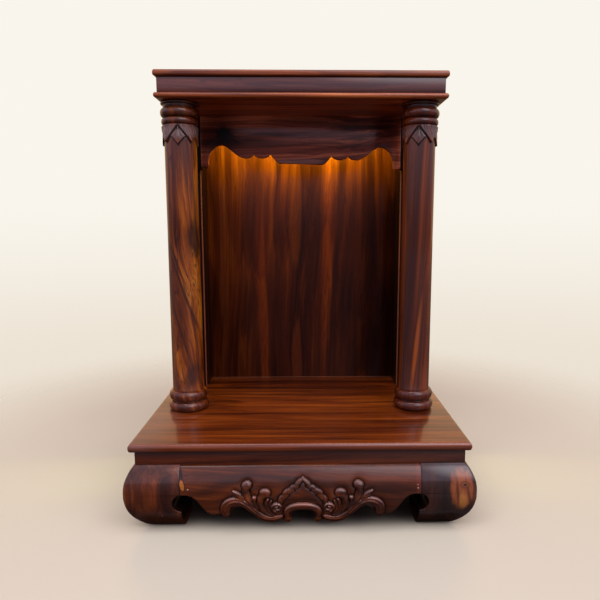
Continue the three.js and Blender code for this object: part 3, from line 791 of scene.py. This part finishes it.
def makeFoot(name, node, sideX, sideY, wood):
    bm = bmesh.new()
    levels = footLevels()
    verts = [bm.verts.new(p) for p in ringAt(levels[0], sideX, sideY)]
    ring = [bm.edges.new((verts[i], verts[(i + 1) % 4])) for i in range(4)]
    bmesh.ops.contextual_create(bm, geom=ring)
    chains = [[] for _ in range(4)]
    for z in levels[1:]:
        before = verts
        fresh = freshVerts(bmesh.ops.extrude_edge_only(bm, edges=ring))
        verts = [min(fresh, key=lambda v: (v.co - old.co).length) for old in before]
        for new, target in zip(verts, ringAt(z, sideX, sideY)):
            new.co = target
        for i, (old, new) in enumerate(zip(before, verts)):
            chains[i].append(bm.edges.get((old, new)))
        ring = [bm.edges.get((verts[i], verts[(i + 1) % 4])) for i in range(4)]
    bmesh.ops.contextual_create(bm, geom=ring)
    bmesh.ops.recalc_face_normals(bm, faces=bm.faces)
    bevelEdges(bm, [e for e in chains[2] if e], footShape["arris"], 4)
    bevelEdges(bm, [e for c in (1, 3) for e in chains[c] if e and e.is_valid], footShape["edge"], 3)
    return finishPiece(name, bm, wood, [node], crease=40)


for sideName, sideX in (("Left", -1), ("Right", 1)):
    for endName, sideY in (("Front", -1), ("Back", 1)):
        makeFoot(f"foot{endName}{sideName}", f"foot_{endName.lower()}_{sideName.lower()}", sideX, sideY,
                 f"foot{sideName}Wood")
print("feet carved")


# Lower edge of the front apron, right half: under the carving from its own middle, then on to the foot.
carvedEdge = [(0, 34.4), (8, 34.1), (12.6, 32.5), (15.7, 28.1), (16.6, 21.6), (16.7, 16.6), (18.4, 10.2),
              (21.8, 6.7), (25.4, 9.0), (27.9, 15.2), (31, 14.1), (35.2, 10.2), (41.1, 6.8), (47.3, 5.8),
              (54.4, 8.2), (61.1, 14.5), (66.7, 21.6), (73.2, 30.3), (79.8, 38), (85.7, 41), (91.2, 41.3),
              (96.7, 39.2), (100.8, 33.8), (103.6, 26.8), (106.5, 21.5), (110.3, 19.7), (113.7, 22.5),
              (115.6, 27.6)]
plainEdge = [(119.6, 27.4), (123.6, 25.8), (127.6, 26.8), (132, 31), (137, 38), (142, 46), (147, 53),
             (152.5, 57.6), (159, 59.6), (169, 60)]
apronShape = {
    "top": 99.3, "inner": 207.0, "edgeRoll": 1.4, "topRoll": 1.2, "topRollDepth": 1.0, "ground": 2.2,
    "shift": 2.8, "proud": 189.1, "boldness": 1.1, "belly": 36.0,
    "bellyEnd": [(66, 0), (59, 2.4), (54, 5.6)], "far": 400,
    # the grid that the face is cut into: finer within "fine" of the middle and below "carvedTop"
    "cell": 0.8, "coarse": 2.6, "fine": 122.0, "carvedLow": 5.8, "carvedTop": 87.0, "topCell": 1.6,
    "plainCell": (4.0, 2.2), "plainLow": 25,
    # Each stroke is a rounded ridge: its height, its flutes, and along its line the distance from the
    # carving's middle, the height above the floor and the half width.
    "strokes": {
        "stem": (4.6, 2, [(31.6, 23.0, 3.0), (38.3, 19.7, 4.4), (47.4, 18.4, 4.9), (57.2, 23.0, 4.8),
            (67.7, 33.6, 4.6), (77.2, 43.8, 4.8), (86.9, 50.2, 5.0), (96.7, 51.0, 5.6), (104.8, 46.3, 6.3),
            (108.6, 38, 6.4), (107.8, 29.6, 5.4)]),
        "arch": (4.6, 0, [(-4, 42.8, 4.7), (7.9, 42.4, 4.7), (16.9, 39.5, 4.6), (22.3, 32.8, 4.3),
            (21.7, 24.3, 3.4)]),
        "drop": (4.9, 0, [(21.6, 20.0, 3.6), (21.3, 15.8, 5.0), (21.3, 15.0, 5.0)]),
        "tallLobe": (3.6, 1, [(65.9, 31.9, 1.6), (71.9, 44.5, 3.4), (77.3, 56.3, 4.8), (79.2, 65.2, 4.7),
            (78.8, 69.8, 4.2)]),
        "tallBulb": (4.4, 0, [(79.1, 73.4, 5.6), (76.9, 74.5, 5.6)]),
        "lobe": (3.4, 1, [(45.2, 25, 1.6), (53.8, 33.7, 3.4), (59.1, 44, 4.4), (59.2, 53.1, 4.3),
            (56.8, 58.8, 4.2)]),
        "lobeBulb": (4.2, 0, [(54.3, 62.7, 6.0), (50.8, 63.1, 5.6)]),
        "beadStalk": (2.6, 0, [(61.5, 31.9, 1.4), (65.9, 42.9, 2.0), (67.6, 51.6, 2.2)]),
        "bead": (3.4, 0, [(67.7, 55.2, 3.3), (67.7, 55.6, 3.3)]),
        "budLeaf": (3.2, 0, [(82, 50.9, 2.0), (88.2, 58.5, 4.0), (93.2, 63.2, 3.0), (96.9, 66.7, 1.0)]),
        "fanOuter": (2.8, 1, [(42.1, 25.7, 1.6), (48.8, 34.7, 2.8), (51.3, 45.3, 2.9), (49, 53.5, 1.8)]),
        "fanInner": (2.5, 1, [(41.7, 27.5, 1.4), (45.4, 35.8, 2.2), (46.2, 45.1, 2.3), (44.1, 51.2, 1.3)]),
        "rimLow": (2.6, 0, [(31.4, 47.8, 2.6), (30.3, 53.2, 3.9), (26.6, 57.6, 3.6), (22.4, 59.8, 2.8)]),
        "rimMiddle": (2.9, 0, [(26.0, 56.4, 2.6), (23.8, 62.6, 3.9), (18.6, 66.6, 3.6), (13.8, 67.6, 2.8)]),
        "rimHigh": (2.6, 0, [(18.4, 64.6, 2.4), (15.4, 69.6, 3.4), (10.4, 72.0, 3.2), (7.0, 72.6, 2.4)]),
        "peak": (3.0, 0, [(9.8, 70.6, 2.0), (8.2, 75, 3.0), (4.5, 79, 2.9), (1.2, 81.8, 1.9),
            (0, 84.4, 1.1)]),
    },
    "volute": {"x": 35.7, "z": 41.4, "turns": 1.6, "radius": 7.4, "width": 2.3, "h": 4.8, "start": -1.3,
               "closing": 0.84, "thinning": 0.42},
}
# How the scrolls are cut: the roundness of a ridge, the depth of its flutes and the painted shade in them,
# the painted shade line at its foot, the lowered ground round it and the painted shade on it, and the slope
# and height at which its upper flank starts to carry a painted highlight.
cut = {
    "roundness": 0.75, "thinnest": 0.3, "fluteDepth": 0.2, "fluteDark": 0.4, "fluteEnd": 0.86, "buried": 0.5,
    "lineAt": 0.7, "lineWide": 0.95, "coverDepth": 2.2, "coverEnd": 0.6, "coverShare": 0.75,
    "groundReach": 3.2, "groundClear": 1.2, "groundDark": 0.45,
    "shineSlope": 0.6, "shineHeight": 0.8, "shineOver": 1.6,
}

farAway, tiny = 1e9, 1e-12


# Signed distance from each (x, z) to a closed outline, positive inside.
def polySign(points, x, z):
    best = np.full(x.shape, farAway)
    inside = np.zeros(x.shape, bool)
    for (x0, z0), (x1, z1) in zip(points, points[1:] + points[:1]):
        dx, dz = x1 - x0, z1 - z0
        t = np.clip(((x - x0) * dx + (z - z0) * dz) / (dx * dx + dz * dz + tiny), 0, 1)
        best = np.minimum(best, np.hypot(x - x0 - t * dx, z - z0 - t * dz))
        crosses = (z0 > z) != (z1 > z)
        at = x0 + (z - z0) / (dz if dz else tiny) * dx
        inside ^= crosses & (x < at)
    return np.where(inside, best, -best)


# Distance ratio from each (x, z) to a tapering line, 0 on the line and 1 at its edge, with its sign.
def strokeRatio(line, x, z):
    path = smoothLine(line, 8)
    near = np.full(x.shape, farAway)
    side = np.zeros(x.shape)
    for a, b in zip(path[:-1], path[1:]):
        dx, dz = b[0] - a[0], b[1] - a[1]
        t = np.clip(((x - a[0]) * dx + (z - a[1]) * dz) / (dx * dx + dz * dz + tiny), 0, 1)
        px, pz = x - a[0] - t * dx, z - a[1] - t * dz
        half = np.maximum(apronShape["boldness"] * (a[2] + t * (b[2] - a[2])), cut["thinnest"])
        ratio = np.hypot(px, pz) / half
        closer = ratio < near
        near = np.where(closer, ratio, near)
        side = np.where(closer, np.sign(dx * pz - dz * px) * ratio, side)
    return near, side


def voluteRatio(v, x, z):
    dx, dz = x - v["x"], z - v["z"]
    radius = np.hypot(dx, dz)
    turn = v["turns"] * 2 * math.pi
    near = np.full(x.shape, farAway)
    for k in range(-1, 4):
        sweep = np.arctan2(dz, dx) + 2 * math.pi * k - v["start"]
        inRange = (sweep >= 0) & (sweep <= turn)
        ringRadius = v["radius"] * (1 - v["closing"] * sweep / turn)
        width = v["width"] * (1 - v["thinning"] * sweep / turn)
        near = np.minimum(near, np.where(inRange, np.abs(radius - ringRadius) / width, farAway))
    return near


def domed(ratio):
    return np.sqrt(np.clip(1 - ratio ** 2, 0, 1)) ** cut["roundness"]


# Height of the scroll carving over the apron's face, and how deep in a crevice each point lies, which sets
# its painted shade.
def carvingHeight(x, z):
    right = np.abs(x - apronShape["shift"])
    height = np.zeros(x.shape)
    crevice = np.zeros(x.shape)
    around = np.zeros(x.shape)
    layers = []
    for tall, flutes, line in apronShape["strokes"].values():
        ratio, side = strokeRatio(line, right, z)
        widest = apronShape["boldness"] * max(p[2] for p in line)
        dome = domed(ratio) * tall
        if flutes:
            wave = 0.5 - 0.5 * np.cos(side * math.pi * (flutes + 0.5))
            dome = dome - cut["fluteDepth"] * tall * wave * (ratio < cut["fluteEnd"])
            crevice = np.maximum(crevice, cut["fluteDark"] * wave * (ratio < cut["fluteEnd"]))
        layers.append((dome, (ratio - 1) * widest))
    ratio = voluteRatio(apronShape["volute"], right, z)
    layers.append((domed(ratio) * apronShape["volute"]["h"], (ratio - 1) * apronShape["volute"]["width"]))
    for dome, _ in layers:
        crevice = np.where(dome > height, crevice * cut["buried"], crevice)
        height = np.maximum(height, dome)
    for dome, away in layers:
        edge = np.exp(-(np.clip(away - cut["lineAt"], -9, 9) / cut["lineWide"]) ** 2)
        covered = np.clip((height - dome) / cut["coverDepth"], 0, 1) * (away < cut["coverEnd"])
        crevice = np.maximum(crevice, edge * (1 - cut["coverShare"] * covered))
        around = np.maximum(around, np.exp(-np.clip(away, 0, 40) / cut["groundReach"]))
    clear = np.clip(1 - height / cut["groundClear"], 0, 1)
    crevice = np.maximum(crevice, cut["groundDark"] * around * clear)
    return height - apronShape["ground"] * around * clear, np.clip(crevice, 0, 1)


def apronOutline(halfLength, carved):
    shape = apronShape
    fall = halfLength - footShape["jointX"]
    ends = [(x + fall, z) for x, z in plainEdge]
    if carved:
        left = [(shape["shift"] - x, z) for x, z in reversed(carvedEdge) if x > 0]
        middle = left + [(shape["shift"] + x, z) for x, z in carvedEdge]
    else:
        half = [(halfLength - back, shape["belly"] - drop) for back, drop in shape["bellyEnd"]]
        middle = [(-x, z) for x, z in reversed(half)] + half
    lower = [(-x, z) for x, z in reversed(ends)] + middle + ends
    return [(-halfLength, shape["top"]), *lower, (halfLength, shape["top"])]


def cutLines(bm, axis, places):
    normal = Vector((1, 0, 0)) if axis == 0 else Vector((0, 0, 1))
    for place in places:
        bmesh.ops.bisect_plane(bm, geom=bm.verts[:] + bm.edges[:] + bm.faces[:], dist=1e-7,
                               plane_co=normal * place * mm, plane_no=normal)


def spacing(start, end, step):
    count = max(int(round((end - start) / step)), 1)
    return [start + (end - start) * i / count for i in range(1, count)]


def makeApron(name, node, halfLength, carved, turn):
    outline = apronOutline(halfLength, carved)
    shape = apronShape
    bm = bmesh.new()
    bm.faces.new([bm.verts.new((x * mm, 0, z * mm)) for x, z in outline])
    if carved:
        fine = shape["fine"]
        xs = spacing(-halfLength, -fine, shape["coarse"]) + spacing(-fine, fine, shape["cell"])
        xs += [-fine, fine] + spacing(fine, halfLength, shape["coarse"])
        zs = spacing(shape["carvedLow"], shape["carvedTop"], shape["cell"])
        zs += spacing(shape["carvedTop"], shape["top"], shape["topCell"])
    else:
        xs = spacing(-halfLength, halfLength, shape["plainCell"][0])
        zs = spacing(shape["plainLow"], shape["top"], shape["plainCell"][1])
    cutLines(bm, 0, sorted(xs))
    cutLines(bm, 2, sorted(zs))
    bm.verts.ensure_lookup_table()
    co = np.array([v.co[:] for v in bm.verts]) / mm
    x, z = co[:, 0], co[:, 2]
    depth = outerAt(z) - footShape["depthLess"]
    far = shape["far"]
    lowEdge = polySign([(-far, far)] + outline[1:-1] + [(far, far)], x, z)
    roll = np.clip(1 - np.maximum(lowEdge, 0) / shape["edgeRoll"], 0, 1)
    raised = -(1 - np.sqrt(np.clip(1 - roll ** 2, 0, 1))) * shape["edgeRoll"]
    crevice = np.zeros(x.shape)
    crest = np.zeros(x.shape)
    if carved:
        relief, crevice = carvingHeight(x, z)
        # Upper flanks, where the height falls away downward and stands high, carry a painted highlight.
        fall = carvingHeight(x, z - shape["cell"])[0] - carvingHeight(x, z + shape["cell"])[0]
        crest = np.clip((fall - cut["shineSlope"]) / cut["shineOver"], 0, 1) * (1 - crevice)
        crest = crest * np.clip((relief - cut["shineHeight"]) / cut["shineOver"], 0, 1)
        raised = raised + relief
    topRoll = np.clip(1 - (shape["top"] - z) / shape["topRoll"], 0, 1)
    raised = raised - (1 - np.sqrt(np.clip(1 - topRoll ** 2, 0, 1))) * shape["topRollDepth"]
    for v, d, r in zip(bm.verts, depth, raised):
        v.co.y = -min(d + r, shape["proud"]) * mm
    markVerts(bm, "cavity", bm.verts, crevice)
    markVerts(bm, "crest", bm.verts, crest)
    rim = [e for e in bm.edges if e.is_boundary]
    for v in freshVerts(bmesh.ops.extrude_edge_only(bm, edges=rim)):
        v.co.y = -(shape["inner"] - footShape["depthLess"]) * mm
    bmesh.ops.contextual_create(bm, geom=[e for e in bm.edges if e.is_boundary])
    bmesh.ops.rotate(bm, verts=bm.verts, cent=(0, 0, 0), matrix=Matrix.Rotation(math.radians(turn), 3, "Z"))
    wood = "apronWood"
    if turn in (90, -90):
        wood = "apronSideWood"
        sideShift = Vector((math.copysign(footShape["depthLess"] * mm, turn), 0, 0))
        bmesh.ops.translate(bm, vec=sideShift, verts=bm.verts)
    return finishPiece(name, bm, wood, [node], crease=50)


frontHalf = footShape["jointX"]
sideHalf = frontHalf - footShape["depthLess"]
makeApron("apronFrontCarved", "apron_front", frontHalf, True, 0)
makeApron("apronBack", "apron_back", frontHalf, False, 180)
makeApron("apronRight", "apron_right", sideHalf, False, 90)
makeApron("apronLeft", "apron_left", sideHalf, False, -90)
print("aprons carved")


columnShape = {
    "height": 486.0, "steps": 192, "footRadius": 25.2, "topRadius": 24.5,
    # rings: radius, bulge, and the heights they run between; the capital's are drops below the roof
    "baseRings": [(32.4, 6.4, 0, 15.6), (31.0, 5.4, 16.4, 33.0)],
    "capitalRings": [(28.2, 2.8, 34.2, 24.8), (29.5, 4.8, 23.4, 9.4)],
    "neck": (25.2, 8.6, 5.2), "topRing": (28.6, 2.0, 4.8, 0),
    "petalTop": 36.7, "petalTip": 62.0, "petalOut": 2.9, "petalFlare": 1.3,
    "leafTop": 41.7, "leafWide": 53.0, "leafTip": 66.4, "leafHalf": 27.0, "leafOut": 1.6, "leafFlare": 1.4,
    "fillet": (0.6, 33.8), "shaftFoot": 35.2, "shaftRows": 8, "collarRows": 58, "collarRoom": 3,
    "ringSteps": 14, "topSteps": 8,
}
# How the leaf collar is cut: the degrees between two petals and what one degree measures on the shaft, then
# heights and widths of ribs, veins and flutes, and how dark the painted shade along its outlines, flutes and
# veins is.
collarCut = {
    "half": 45, "perDegree": 0.44, "petalRound": 0.95, "hollow": 0.5, "petalEdge": 0.9, "rib": 0.55,
    "ribWide": 2.4, "vein": 0.3, "veinSlant": (1.25, 1.1), "veinCount": 0.55, "veinEdge": 3,
    "leafRound": (0.8, 1.35), "leafBlunt": 0.1, "leafThin": 3, "leafEdge": 0.8, "fan": 0.34, "fanFlutes": 3,
    "fluteEdge": 2, "fluteEnd": 4, "petalLine": (0.5, 0.9, 1.5), "leafLine": (0.3, 0.8, 1),
    "fluteDark": 0.55, "veinDark": 0.4, "petalRoom": (0.5, 0.3), "darkRoom": 0.6, "topRoom": 0.4,
}
columnTurn = {"left": 3.8, "right": -14.5}


def arcPoints(radius, bite, low, high, steps):
    points = []
    for i in range(steps + 1):
        angle = math.radians(-90 + 180 * i / steps)
        height = (low + high) / 2 + (high - low) / 2 * math.sin(angle)
        points.append((radius - bite + bite * math.cos(angle), height))
    return points


def columnProfile():
    c = columnShape
    top = c["height"]
    points = [(0, 0)]
    for radius, bulge, low, high in c["baseRings"]:
        points += arcPoints(radius, bulge, low, high, c["ringSteps"])
    foot, more = c["shaftFoot"], c["fillet"][0]
    points += [(c["footRadius"] + more, c["fillet"][1]), (c["footRadius"], foot)]
    shaftTop = top - c["leafTip"] - c["collarRoom"]
    for i in range(1, c["shaftRows"] + 1):
        t = i / c["shaftRows"]
        radius = c["footRadius"] + (c["topRadius"] - c["footRadius"]) * t
        points.append((radius, foot + (shaftTop - foot) * t))
    for i in range(1, c["collarRows"] + 1):
        points.append((c["topRadius"], shaftTop + (top - c["petalTop"] - shaftTop) * i / c["collarRows"]))
    for radius, bulge, low, high in c["capitalRings"]:
        points += arcPoints(radius, bulge, top - low, top - high, c["ringSteps"])
    radius, low, high = c["neck"]
    points += [(radius, top - low), (radius, top - high)]
    radius, bulge, low, high = c["topRing"]
    points += arcPoints(radius, bulge, top - low, top - high, c["topSteps"])
    points.append((0, top))
    return points


def eased(t):
    t = np.clip(t, 0, 1)
    return t * t * (3 - 2 * t)


# How far the leaf collar stands out of the shaft and how much painted shade lies along its outlines, at an
# angle in degrees and a drop below the roof.
def collarRise(angle, drop):
    c, k = columnShape, collarCut
    quarter = np.mod(angle + k["half"], 2 * k["half"]) - k["half"]     # from the nearest rear leaf
    away = k["half"] - np.abs(quarter)                                 # from the nearest petal's rib
    run = np.clip((drop - c["petalTop"]) / (c["petalTip"] - c["petalTop"]), 0, 1)
    inPetal = (k["half"] * (1 - run ** k["petalRound"]) - away) * k["perDegree"]
    hollow = k["hollow"] * np.cos(away / k["half"] * math.pi) * (1 - run)
    rib = k["rib"] * np.exp(-(away / k["ribWide"]) ** 2)
    across, down = k["veinSlant"]
    veins = k["vein"] * np.cos((away * across + (drop - c["petalTop"]) * down) * k["veinCount"])
    petal = c["petalOut"] + c["petalFlare"] * run ** 2 - hollow + rib + veins * eased(inPetal / k["veinEdge"])
    onPetal = (drop < c["petalTip"] + k["petalRoom"][0]) & (drop > c["petalTop"] - k["petalRoom"][1])
    petal = np.where(onPetal, petal * eased(inPetal / k["petalEdge"]), 0)

    upperRun = (drop - c["leafTop"]) / (c["leafWide"] - c["leafTop"])
    lowerRun = (c["leafTip"] - drop) / (c["leafTip"] - c["leafWide"])
    upper, lower = k["leafRound"]
    half = c["leafHalf"] * np.where(drop < c["leafWide"], np.clip(upperRun, k["leafBlunt"], 1) ** upper,
                                    np.clip(lowerRun, 0, 1) ** lower)
    inLeaf = (half - np.abs(quarter)) * k["perDegree"]
    fan = np.cos(np.abs(quarter) / np.maximum(half, k["leafThin"]) * math.pi * k["fanFlutes"])
    fall = np.clip((drop - c["leafTop"]) / (c["leafTip"] - c["leafTop"]), 0, 1)
    flute = eased(inLeaf / k["fluteEdge"]) * eased((c["leafWide"] + k["fluteEnd"] - drop) / k["fluteEnd"])
    leaf = (c["leafOut"] + c["leafFlare"] * fall + k["fan"] * fan * flute) * eased(inLeaf / k["leafEdge"])
    onLeaf = (drop < c["leafTip"]) & (drop > c["petalTop"])
    leaf = np.where(onLeaf, leaf, 0)

    # Painted shade along petal and leaf outlines, in the leaf flutes and between the veins.
    out, wide, below = k["petalLine"]
    petalDark = np.exp(-((inPetal + out) / wide) ** 2) * (drop < c["petalTip"] + below)
    out, wide, below = k["leafLine"]
    leafDark = np.exp(-((inLeaf + out) / wide) ** 2) * (inPetal < 0) * (drop < c["leafTip"] + below)
    fluteDark = k["fluteDark"] * np.clip(-fan, 0, 1) * flute * (inPetal < 0) * onLeaf
    veinDark = k["veinDark"] * eased(-veins / k["vein"]) * eased(inPetal / k["veinEdge"]) * onPetal
    dark = np.maximum(np.maximum(petalDark, leafDark), np.maximum(fluteDark, veinDark))
    return np.maximum(petal, leaf), dark * (drop > c["petalTop"] - k["darkRoom"])


def makeColumn(side, wood):
    low, high = boxOf(f"column_{side}")
    bm = bmesh.new()
    bm.verts.layers.float.new("cavity")
    verts = [bm.verts.new((r * mm, 0, z * mm)) for r, z in columnProfile()]
    edges = [bm.edges.new(pair) for pair in zip(verts[:-1], verts[1:])]
    bmesh.ops.spin(bm, geom=verts + edges, cent=(0, 0, 0), axis=(0, 0, 1), dvec=(0, 0, 0),
                   angle=math.radians(360), steps=columnShape["steps"], use_merge=True, use_duplicate=False)
    bmesh.ops.remove_doubles(bm, verts=bm.verts, dist=1e-6)
    top = columnShape["height"]
    start = top - columnShape["leafTip"] - columnShape["collarRoom"]
    end = top - columnShape["petalTop"] + collarCut["topRoom"]
    collar = [v for v in bm.verts if start < v.co.z / mm < end]
    co = np.array([v.co[:] for v in collar]) / mm
    rise, dark = collarRise(np.degrees(np.arctan2(co[:, 1], co[:, 0])), top - co[:, 2])
    markVerts(bm, "cavity", collar, dark)
    for v, up in zip(collar, rise):
        flat = Vector((v.co.x, v.co.y, 0))
        v.co += flat.normalized() * float(up) * mm
    turn = Matrix.Rotation(math.radians(columnTurn[side]), 3, "Z")
    bmesh.ops.rotate(bm, verts=bm.verts, cent=(0, 0, 0), matrix=turn)
    middle = (low + high) / 2
    bmesh.ops.translate(bm, vec=(middle.x, middle.y, low.z), verts=bm.verts)
    name = f"turnedColumn{side.capitalize()}"
    return finishPiece(name, bm, wood, [f"column_{side}"], crease=38)


for side in ("left", "right"):
    makeColumn(side, f"column{side.capitalize()}Wood")
print("columns turned")


plainBoard("backPanelBoard", "back_panel", "panelWood")
for piece, node, wood, slot in (("sidePanelBoard", "side_panel", "sidePanelShadedWood", "panel_wood"),
                                ("cleatBlock", "cleat", "cleatShadedWood", "valance_wood")):
    for side in ("left", "right"):
        plainBoard(f"{piece}{side.capitalize()}", f"{node}_{side}", wood)

valanceShape = {"halfWidth": 173.5, "arris": 1.0, "lean": 1.4, "leanFrom": 50.0}


def scallop(start, end, low, fall, steps=10):
    points = []
    for i in range(1, steps + 1):
        angle = math.pi * i / steps
        points.append(((start + end) / 2 - (end - start) / 2 * math.cos(angle), low + fall * math.sin(angle)))
    return points


# Lower edge of the valance as drops below the roof board, from the middle to the right.
def valanceEdge():
    points = [(0, 81.4), (36, 81.4)]
    rise = [(36, 81.4), (40, 80.4), (45, 76.4), (50, 70.6), (54.4, 66.3)]
    points += [tuple(p) for p in smoothLine(rise, 4)[1:]]
    points += scallop(54.4, 81.4, 66.3, 6.8)
    tail = [(81.4, 66.3), (86, 70.6), (91, 72.7), (97.8, 73.2), (104, 71.8), (112.7, 67.2), (118.5, 62.6),
            (124.3, 57.8), (130, 53.8), (136.5, 51.4), (143, 52), (149, 55), (154.7, 60.6), (158, 66.5),
            (159.8, 72), (160.8, 80)]
    points += [tuple(p) for p in smoothLine(tail, 3)[1:]]
    points += [(161.5, 86), (163.2, 88.2), (165.6, 88.6), (171.6, 88.6), (173, 87.8), (173.5, 86.4)]
    return points


def makeValance():
    low, high = boxOf("valance")
    v = valanceShape
    half = [(x, high.z / mm - drop) for x, drop in valanceEdge()]
    whole = [(-x, z) for x, z in reversed(half) if x > 0] + half
    outline = [(-v["halfWidth"], high.z / mm)]
    outline += [(x, z - v["lean"] * max(-1.0, min(1.0, x / v["leanFrom"]))) for x, z in whole]
    outline.append((v["halfWidth"], high.z / mm))
    bm = bmesh.new()
    face = bm.faces.new([bm.verts.new((x * mm, high.y, z * mm)) for x, z in outline])
    fresh = freshVerts(bmesh.ops.extrude_face_region(bm, geom=[face]))
    bmesh.ops.translate(bm, vec=(0, low.y - high.y, 0), verts=fresh)
    bmesh.ops.recalc_face_normals(bm, faces=bm.faces)
    rim = [e for e in bm.edges if all(abs(v.co.y - low.y) < 1e-6 for v in e.verts)]
    bevelEdges(bm, rim, v["arris"], 3)
    return finishPiece("valanceBoard", bm, "valanceLightenedWood", ["valance"], crease=35)


makeValance()
print("niche built")


roofShape = {
    "thickness": 8.0, "nose": 3.6, "corner": 1.5,
    # edge of the top board: [inset, height]
    "topEdge": [(4.6, 0), (2.2, 0.5), (0.6, 1.6), (0, 3.2), (0, 5.4), (0.5, 7.4), (1.8, 9.3)],
}
mouldedBoard("roofLowerBoard", "roof_board", "slabWood",
             noseEdge(roofShape["thickness"], roofShape["nose"]), roofShape["corner"])
for side in ("front", "back", "left", "right"):
    wood = "friezeWood" if side in ("front", "back") else "friezeSideWood"
    plainBoard(f"friezeBoard{side.capitalize()}", f"frieze_{side}", wood, arris=0.5)

topHeight = roofShape["topEdge"][-1][1]
topEdge = [(max(inset, 0.0), min(up, topHeight)) for inset, up in smoothLine(roofShape["topEdge"], 4)]
mouldedBoard("roofTopBoard", "roof_top", "slabWood", topEdge, roofShape["corner"])
print("roof built")
